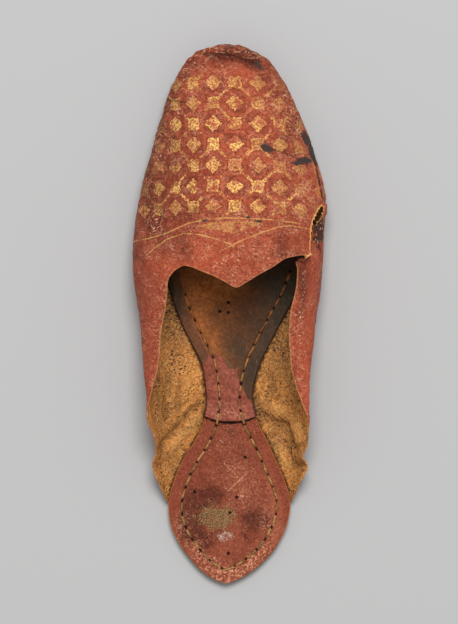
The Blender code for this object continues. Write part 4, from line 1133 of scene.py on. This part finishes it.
def seamPath():  # the running seam, inset from the insoles' edge, from under the throat round the heel
    path = movedOutwards(insoleEdge, -seamLook["inset"])
    top = int(np.argmax(insoleEdge[:, 1]))
    left, right = path[:top], path[top:]
    left = left[left[:, 1] < seamLook["leftEnd"] * mm]
    right = right[right[:, 1] < seamLook["rightEnd"] * mm]
    path = np.vstack([left[::-1], right[::-1]])
    lengths = pathLengths(path)
    even = np.arange(0, lengths[-1], seamLook["step"])
    path = valuesAt(even, lengths, path)
    for _ in range(4):
        path[1:-1] = (path[:-2] + 2 * path[1:-1] + path[2:]) / 4
    return path


seam = seamPath()
seamRun = pathLengths(seam)


def frontInsoleUnderside(station):
    lapStart = shoe["waistSeam"] + shoe["insoleLap"] / length
    ramp = np.clip((lapStart + shoe["lapRamp"] / length - station) * length / shoe["lapRamp"], 0, 1)
    step = shoe["heelInsoleThickness"] + shoe["seatGap"]
    return shoe["outsoleThickness"] + shoe["seatGap"] + step * ramp * ramp * (3 - 2 * ramp)


def seamChart(points):  # distance inside the seam in mm, and the count of stitches along it
    inside, count = np.empty(len(points)), np.empty(len(points))
    for start in range(0, len(points), seamLook["block"]):
        part = slice(start, start + seamLook["block"])
        away = points[part, None, :2] - seam[None, :, :]
        distance = (away ** 2).sum(axis=2)
        i = distance.argmin(axis=1)
        along = seam[np.minimum(i + 1, len(seam) - 1)] - seam[np.maximum(i - 1, 0)]
        along /= np.linalg.norm(along, axis=1)[:, None]
        near = points[part, :2] - seam[i]
        cross = along[:, 0] * near[:, 1] - along[:, 1] * near[:, 0]
        reach = np.sqrt(distance.min(axis=1)) * 0.999  # past the seam's ends the distance goes on growing
        inside[part] = np.maximum(np.abs(cross), reach) / mm * np.sign(cross)
        count[part] = (seamRun[i] + (near * along).sum(axis=1)) / seamLook["pitch"]
    return inside, count


def crowded(count, crowding):  # shares from 0 to 1, closer together at both ends
    even = np.linspace(0, 1, count)
    return even + ((1 - np.cos(math.pi * even)) / 2 - even) * crowding


def makePlate(name, edge, start, end, underside, thickness, materials, bow=0.0, dimpled=False):
    look = plateLook
    first = max(start, stationOf(edge[:, 1].min()) + look["tipInset"])
    last = min(end, stationOf(edge[:, 1].max()) - look["tipInset"])
    station = first + (last - first) * crowded(look["rows"], look["rowCrowding"])
    y = (station - 0.5) * length
    left, right = edgesAt(edge, y)
    across = crowded(look["columns"], look["columnCrowding"])
    x = left[:, None] + (right - left)[:, None] * across
    y = np.broadcast_to(y[:, None], x.shape).copy()
    y += bow * (2 * across[None, :] - 1) ** 2 * ease(-(y - y[0, 0]), -look["bowLength"], 0.0)
    low = soleLift(stationOf(y)) + underside(stationOf(y))
    gap = np.minimum(x - left[:, None], right[:, None] - x)
    gap = np.minimum(gap, np.minimum(y - y[0].min() if start > 0 else 1.0, 1.0))
    rimShare = np.clip(1 - gap / look["rimRadius"], 0, 1) ** 2
    rounding = rimShare * min(look["rimDepth"] * thickness, look["rimRadius"])
    plan = np.stack([x, y, 0 * x], axis=-1)
    if bow:
        fromLip = y - y[0]
        corners = look["curlMiddle"] + look["curlCorners"] * np.abs(2 * across - 1) ** 3
        curl = ease(-fromLip, -look["lipLength"], 0.0) * corners
        frayed = look["fray"] * randomField(plan, look["fraySize"], 6)
        frayed *= ease(-fromLip, -look["frayLength"], 0)
        low = low + (curl + frayed) * look["lipLift"] * mm
    uneven = randomField(plan, look["unevenSize"], 21) * look["unevenness"] * mm * (1 - rimShare)
    top = low + thickness - rounding + uneven * look["topShare"]
    if dimpled:
        inside, count = seamChart(plan.reshape(-1, 3))
        inside, count = inside.reshape(x.shape), count.reshape(x.shape)
        along = (np.abs(np.mod(count, 1) - 0.5) - 0.5) * seamLook["pitch"] / mm * seamLook["dimpleSpread"]
        hollow = np.exp(-(inside ** 2 + along ** 2) / (seamLook["dimpleReach"] / mm) ** 2)
        groove = seamLook["grooveShare"] * np.exp(-(inside / seamLook["grooveReach"]) ** 2)
        top -= seamLook["dimple"] * mm * (hollow + groove)
    bottom = low + rounding * look["rimBelow"]
    rows, columns = x.shape
    upperAt = np.arange(rows * columns).reshape(rows, columns)
    lowerAt = upperAt + rows * columns
    faces = gridQuads(upperAt) + gridQuads(lowerAt, flipped=True)
    ring = np.concatenate([upperAt[0, :-1], upperAt[:-1, -1], upperAt[-1, :0:-1], upperAt[:0:-1, 0]])
    below = ring + rows * columns
    for a, b, c, d in zip(ring, np.roll(ring, -1), np.roll(below, -1), below):
        faces.append((int(a), int(d), int(c), int(b)))
    vertices = np.vstack([np.stack([x, y, top], axis=-1).reshape(-1, 3),
                          np.stack([x, y, bottom], axis=-1).reshape(-1, 3)])
    plate = newObject(name, vertices, faces, None, materials)
    return plate, (x, y, top)


insoleMarks = dict(
    # Dark marks: soot on the heel pad, painted shade in the front insole's throat corners and under the
    # vamp's right side
    sootAndShade=(((24.3, 10.9), 20, 22, 12, 1.0), ((-27.3, 11.5), 2.4, 14, -6, 1.0),
          ((14.7, -8.8), 9, 20, 12, 0.75), ((9.9, -25.6), 7, 14, 8, 0.85), ((21.9, -5.2), 3.5, 14, 24, 1.0),
          ((-2.1, 1.9), 5, 3.5, 0, 0.25), ((15.9, -20.8), 3.5, 12, 24, 0.8), ((30.9, 16.3), 5, 20, 6, 1.0),
          ((5.1, -16.6), 7, 11, 0, 0.75), ((-23.7, 5.5), 3, 12, -10, 0.7), ((11.1, 0.8), 12, 14, 0, 0.6),
          ((-3.9, 1.6), 4, 2, 0, 0.4), ((-11.7, -85), 11, 6, 8, 0.9), ((-16.5, -96.5), 6, 10, 0, 0.95),
          ((-11.7, -104.8), 6, 4.5, -30, 0.85), ((12.9, -94.6), 8, 6, 0, 0.85), ((1.5, -55), 5, 3, 0, 0.5),
          ((8.7, -102.5), 5, 3, -30, 0.6)),
    stain=(((-5.9, -94.6), 7.5, 5.4, 0, 1.3),),
    # Lighter marks: painted light and sheen where the vamp shades the front insole, tone on the heel pad
    toneAndPaintedLight=(((-12.3, -2.9), 5, 14, -14, 0.7), ((-6.9, -13.7), 5, 9, -10, 0.6), ((-2.1, 3.1), 7, 8, 0, 0.4),
          ((-15.3, 13.9), 11, 9, 0, 0.65), ((-6.9, 9.2), 10, 6, 0, 0.8), ((-0.3, -108.5), 9, 5, 0, 0.3),
          ((-22.5, -8.8), 2.5, 14, -20, 0.4), ((-6.3, 11.5), 20, 8, 0, 1.0), ((20.7, -88), 2.5, 18, 8, 0.8),
          ((5.1, -101.2), 5, 4, 0, 0.5), ((5.1, -77.2), 5, 5, 0, 0.5)),
    pale=(((-1.8, -103.8), 4.6, 2.8, 10, 1.3), ((12.9, -21.4), 0.8, 0.8, 0, 0.9),
          ((-6.9, -94), 4.5, 3.6, 0, 0.15)),
    rub=(((-11.7, -113.2), 10, 3.5, -45, 1.0), ((-0.3, -121), 10, 3.5, 0, 1.0),
         ((11.1, -114.5), 10, 3.5, 45, 1.0), ((-21.3, -98.8), 3, 9, -15, 0.6),
         ((18.9, -100), 3, 12, 10, 0.6), ((-0.3, -59.2), 7, 8, 0, 0.2), ((3.3, -72.5), 8, 8, 0, 0.3),
         ((0.3, -46.6), 11, 2.4, 0, 0.5), ((6.9, -85), 6, 6, 0, 0.5)))
scrapes = (
    ((-2.7, -68.4), (-1.6, -70.6)), ((-1.1, -70.6), (1.5, -73), (3.7, -75.5)), ((1.5, -70.6), (3.2, -72.2)),
    ((8, -74.2), (3.9, -78.1), (-0.1, -81.8)), ((-2.2, -80.2), (-0.1, -82.3)), ((4.3, -83.8), (6.9, -85)),
    ((8.1, -85.6), (9.6, -86.2)), ((-4.3, -58.3), (-2.7, -59.8)),
    ((-2.7, -19.1), (-0.3, -22.6), (2.1, -26.2)))
redBegins = (np.array([-18.9, -11.7, -9.3, -0.9, 5.4, 7.5, 11.7, 17.1]),
             np.array([-28.1, -25.1, -18.8, -23.8, -28.9, -38.9, -42.4, -43.6]))  # mm


def paintInsole(plate, lapped):
    points = vertexPlaces(plate.data)
    inside, count = seamChart(points)
    left, right = edgesAt(insoleEdge, points[:, 1])
    values = dict(seamDistance=-inside, seamCount=count)
    gap = np.minimum(points[:, 0] - left, right - points[:, 0])
    values["edgeGap"] = np.minimum(gap, points[:, 1] - points[:, 1].min()) / mm
    moved = points + randomField(points, 0.005, 31)[:, None] * (0.0022, 0.0018, 0)
    for name, marks in insoleMarks.items():
        values[name] = np.clip(blotches(moved, marks), 0, 1)
    values["scrape"] = np.min([lineDistance(points, line)[0] for line in scrapes], axis=0) / mm
    across = (points[:, 0] - left) / (right - left)
    lip = (shoe["waistSeam"] - 0.5) * length + shoe["lapBow"] * (2 * across - 1) ** 2
    values["lapGap"] = (lip - points[:, 1]) / mm if lapped else 9.0 + 0 * lip
    brink = np.interp(moved[:, 0] / mm, *redBegins) - moved[:, 1] / mm
    brink += randomField(points, 0.0035, 41) * 1.6
    values["warm"] = ease(brink, -0.8, 1.2)
    for name, field in values.items():
        setAttribute(plate.data, name, field)


def stitchTree(material):  # one thread stitch on each point, turned along the seam
    tree = bpy.data.node_groups.new("runningSeam", "GeometryNodeTree")
    face = tree.interface
    face.new_socket("Geometry", in_out="INPUT", socket_type="NodeSocketGeometry")
    for name, value in (("Stitch Length", seamLook["stitchLength"]),
                        ("Thread Width", seamLook["threadWidth"]),
                        ("Sag", seamLook["sag"]), ("Crookedness", seamLook["crookedness"])):
        face.new_socket(name, in_out="INPUT", socket_type="NodeSocketFloat").default_value = value
    face.new_socket("Seed", in_out="INPUT", socket_type="NodeSocketInt").default_value = seamLook["seed"]
    face.new_socket("Geometry", in_out="OUTPUT", socket_type="NodeSocketGeometry")

    node = partial(addNode, tree, "")
    given = tree.nodes.new("NodeGroupInput").outputs
    half = node("ShaderNodeMath", {0: given["Stitch Length"], 1: 0.5}, operation="MULTIPLY")
    back = node("ShaderNodeMath", {0: half, 1: -1.0}, operation="MULTIPLY")
    down = node("ShaderNodeMath", {0: given["Sag"], 1: -1.0}, operation="MULTIPLY")
    start = node("ShaderNodeCombineXYZ", {"X": back, "Z": down})
    end = node("ShaderNodeCombineXYZ", {"X": half, "Z": down})
    handles = [node("ShaderNodeMath", {0: end, 1: seamLook["handleShare"]}, operation="MULTIPLY")
               for end in (back, half)]
    lead, trail = (node("ShaderNodeCombineXYZ", {"X": x, "Z": given["Sag"]}) for x in handles)
    arch = node("GeometryNodeCurvePrimitiveBezierSegment",
                {"Resolution": 10, "Start": start, "Start Handle": lead, "End Handle": trail, "End": end})
    radius = node("ShaderNodeMath", {0: given["Thread Width"], 1: 0.5}, operation="MULTIPLY")
    ringProfile = node("GeometryNodeCurvePrimitiveCircle", {"Resolution": 8, "Radius": radius})
    thread = node("GeometryNodeCurveToMesh", {"Curve": arch, "Profile Curve": ringProfile, "Fill Caps": True})
    along = node("GeometryNodeInputNamedAttribute", {"Name": "along"}, data_type="FLOAT_VECTOR")
    upright = node("GeometryNodeInputNamedAttribute", {"Name": "upright"}, data_type="FLOAT_VECTOR")
    turn = node("FunctionNodeAlignRotationToVector", {"Vector": along}, axis="X")
    turn = node("FunctionNodeAlignRotationToVector", {"Rotation": turn, "Vector": upright}, axis="Z",
                pivot_axis="X")
    crooked = node("ShaderNodeMath", {0: given["Crookedness"], 1: -1.0}, operation="MULTIPLY")
    twist = node("FunctionNodeRandomValue", {2: crooked, 3: given["Crookedness"], "Seed": given["Seed"]}, 1,
                 data_type="FLOAT")
    twist = node("FunctionNodeAxisAngleToRotation", {"Axis": (0, 0, 1), "Angle": twist})
    turn = node("FunctionNodeRotateRotation", {"Rotation": turn, "Rotate By": twist}, rotation_space="LOCAL")
    scale = node("FunctionNodeRandomValue", {0: (0.72, 0.75, 0.8), 1: (1.05, 1.15, 1.1),
                                             "Seed": given["Seed"]}, 0, data_type="FLOAT_VECTOR")
    placed = node("GeometryNodeInstanceOnPoints", {"Points": given["Geometry"], "Instance": thread,
                                                   "Rotation": turn, "Scale": scale})
    real = node("GeometryNodeRealizeInstances", {"Geometry": placed})
    real = node("GeometryNodeSetShadeSmooth", {"Geometry": real})
    painted = node("GeometryNodeSetMaterial", {"Geometry": real, "Material": material})
    node("NodeGroupOutput", {0: painted})
    return tree


def makeThread(material, heightAt):
    count = int(seamRun[-1] / seamLook["pitch"])
    at = (np.arange(count) + 0.5) * seamLook["pitch"]
    step = seamLook["slopeStep"]
    plans = [valuesAt(at + ahead, seamRun, seam) for ahead in (0, step, -step)]
    middle, front, back = (np.column_stack([plan, heightAt(plan)]) for plan in plans)
    along = front - back
    along /= np.linalg.norm(along, axis=1)[:, None]
    sideways = np.cross((0, 0, 1.0), along)
    upright = np.cross(along, sideways)
    upright /= np.linalg.norm(upright, axis=1)[:, None]
    middle[:, 2] += seamLook["threadWidth"] * seamLook["riseShare"]
    thread = newObject("sewingThread", middle, [], None, [])
    for name, values in (("along", along), ("upright", upright)):
        attribute = thread.data.attributes.new(name, "FLOAT_VECTOR", "POINT")
        attribute.data.foreach_set("vector", values.ravel().astype(np.float32))
    modifier = thread.modifiers.new("seam", "NODES")
    modifier.node_group = stitchTree(material)
    for item in modifier.node_group.interface.items_tree:
        if item.in_out == "INPUT" and item.name in ("Stitch Length", "Thread Width", "Sag", "Crookedness",
                                                    "Seed"):
            modifier[item.identifier] = item.default_value
    bakedInto(thread, modifier)
    return thread


def heightsFrom(sheets):  # the top of whichever insole lies uppermost at a plan point
    def heightAt(plan):
        best = np.full(len(plan), -1.0)
        for x, y, top in sheets:
            rowsY = y[:, x.shape[1] // 2]
            i = np.clip(np.searchsorted(rowsY, plan[:, 1]), 1, len(rowsY) - 1)
            share = np.clip((plan[:, 1] - rowsY[i - 1]) / (rowsY[i] - rowsY[i - 1]), 0, 1)
            for k in range(len(plan)):
                if rowsY[0] <= plan[k, 1] <= rowsY[-1]:
                    a = np.interp(plan[k, 0], x[i[k] - 1], top[i[k] - 1])
                    b = np.interp(plan[k, 0], x[i[k]], top[i[k]])
                    best[k] = max(best[k], a + (b - a) * share[k])
        return best
    return heightAt


redGoatskin, tanSide, cutEdge = goatskin(), fleshSide(), rawCutEdge()
upper = makeUpper([redGoatskin, tanSide, cutEdge])
upper = tornUpper(upper, cutEdge)
paintUpper(upper, keepAsAttributes(upper))
smoothShaded(upper, 55)
print("upper:", triangleCount(upper), "triangles")

lapEnd = shoe["waistSeam"] + shoe["insoleLap"] / length
sole, _ = makePlate("treadSole", outsoleEdge, 0.0, 1.0, lambda station: 0 * station,
                    shoe["outsoleThickness"], [soleLeather()])
heelPad, heelSheet = makePlate("heelInsoleLeather", insoleEdge, 0.0, lapEnd,
                               lambda station: shoe["outsoleThickness"] + shoe["seatGap"] + 0 * station,
                               shoe["heelInsoleThickness"], [insoleLeather("wornRedSheepskin", False)],
                               dimpled=True)
frontPad, frontSheet = makePlate("frontInsoleLeather", insoleEdge, shoe["waistSeam"], 1.0,
                                 frontInsoleUnderside, shoe["frontInsoleThickness"],
                                 [insoleLeather("darkBrownSheepskin", True)], bow=shoe["lapBow"],
                                 dimpled=True)
paintInsole(heelPad, True)
paintInsole(frontPad, False)
for plate in (sole, heelPad, frontPad):
    smoothShaded(plate, 50)
thread = makeThread(waxedThread(), heightsFrom((heelSheet, frontSheet)))
print("insoles, sole and seam ready:", [triangleCount(thing) for thing in (sole, heelPad, frontPad, thread)])

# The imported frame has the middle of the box's underside at the origin: every piece moves there
low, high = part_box("outsole")
middle = (outsoleEdge.min(axis=0) + outsoleEdge.max(axis=0)) / 2
shift = np.array([(low.x + high.x) / 2 - middle[0], (low.y + high.y) / 2 - middle[1], low.z])
for thing in (upper, sole, heelPad, frontPad, thread):
    moveVertices(thing.data, vertexPlaces(thing.data) + shift)
print("moved onto the frame by", np.round(shift / mm, 3), "mm")

for piece, node, slot in ((upper, "upper", "red_goatskin"), (sole, "outsole", "sole_leather"),
                          (heelPad, "insole_heel", "worn_red_leather"),
                          (frontPad, "insole_front", "brown_leather")):
    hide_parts(node)
    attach(piece, "root")
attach(thread, "root")

# Pale studio floor, soft light from the far right, camera straight above with a long lens
studio = dict(floorSize=6.0, floorColour="#ababac", viewHeight=0.290, cameraHeight=6.0, sensor=36.0,
              lookAt=(0.0, 0.001), keyPlace=(0.15, 1.35, 2.95), keySize=1.7, keyPower=104.0,
              skyColour="#f6f4f0", skyStrength=0.60)
bpy.ops.mesh.primitive_plane_add(size=studio["floorSize"], location=(0, 0, 0))
floor = bpy.context.object
floor.name = "floor"
paper, add, *_ = newMaterial("paleBackdropPaper")
add("OutputMaterial", {"Surface": add("BsdfPrincipled", {"Base Color": linear(studio["floorColour"]),
                                                         "Roughness": 0.9, "Specular IOR Level": 0.2})})
floor.data.materials.append(paper)

world = bpy.data.worlds.new("studioSky")
bpy.context.scene.world = world
world.use_nodes = True
world.node_tree.nodes["Background"].inputs["Color"].default_value = linear(studio["skyColour"])
world.node_tree.nodes["Background"].inputs["Strength"].default_value = studio["skyStrength"]

key = bpy.data.lights.new("softKey", "AREA")
key.shape, key.size, key.energy = "DISK", studio["keySize"], studio["keyPower"]
keyLamp = bpy.data.objects.new("softKey", key)
keyLamp.location = studio["keyPlace"]
keyLamp.rotation_euler = (-keyLamp.location).to_track_quat("-Z", "Y").to_euler()
bpy.context.scene.collection.objects.link(keyLamp)

view = bpy.data.cameras.new("camera")
view.sensor_width = studio["sensor"]
view.lens = studio["sensor"] * studio["cameraHeight"] / studio["viewHeight"]
camera = bpy.data.objects.new("camera", view)
camera.location = (*studio["lookAt"], studio["cameraHeight"])
bpy.context.scene.collection.objects.link(camera)
bpy.context.scene.camera = camera
bpy.context.scene.view_settings.view_transform = "Standard"
print("stage, light and camera ready")
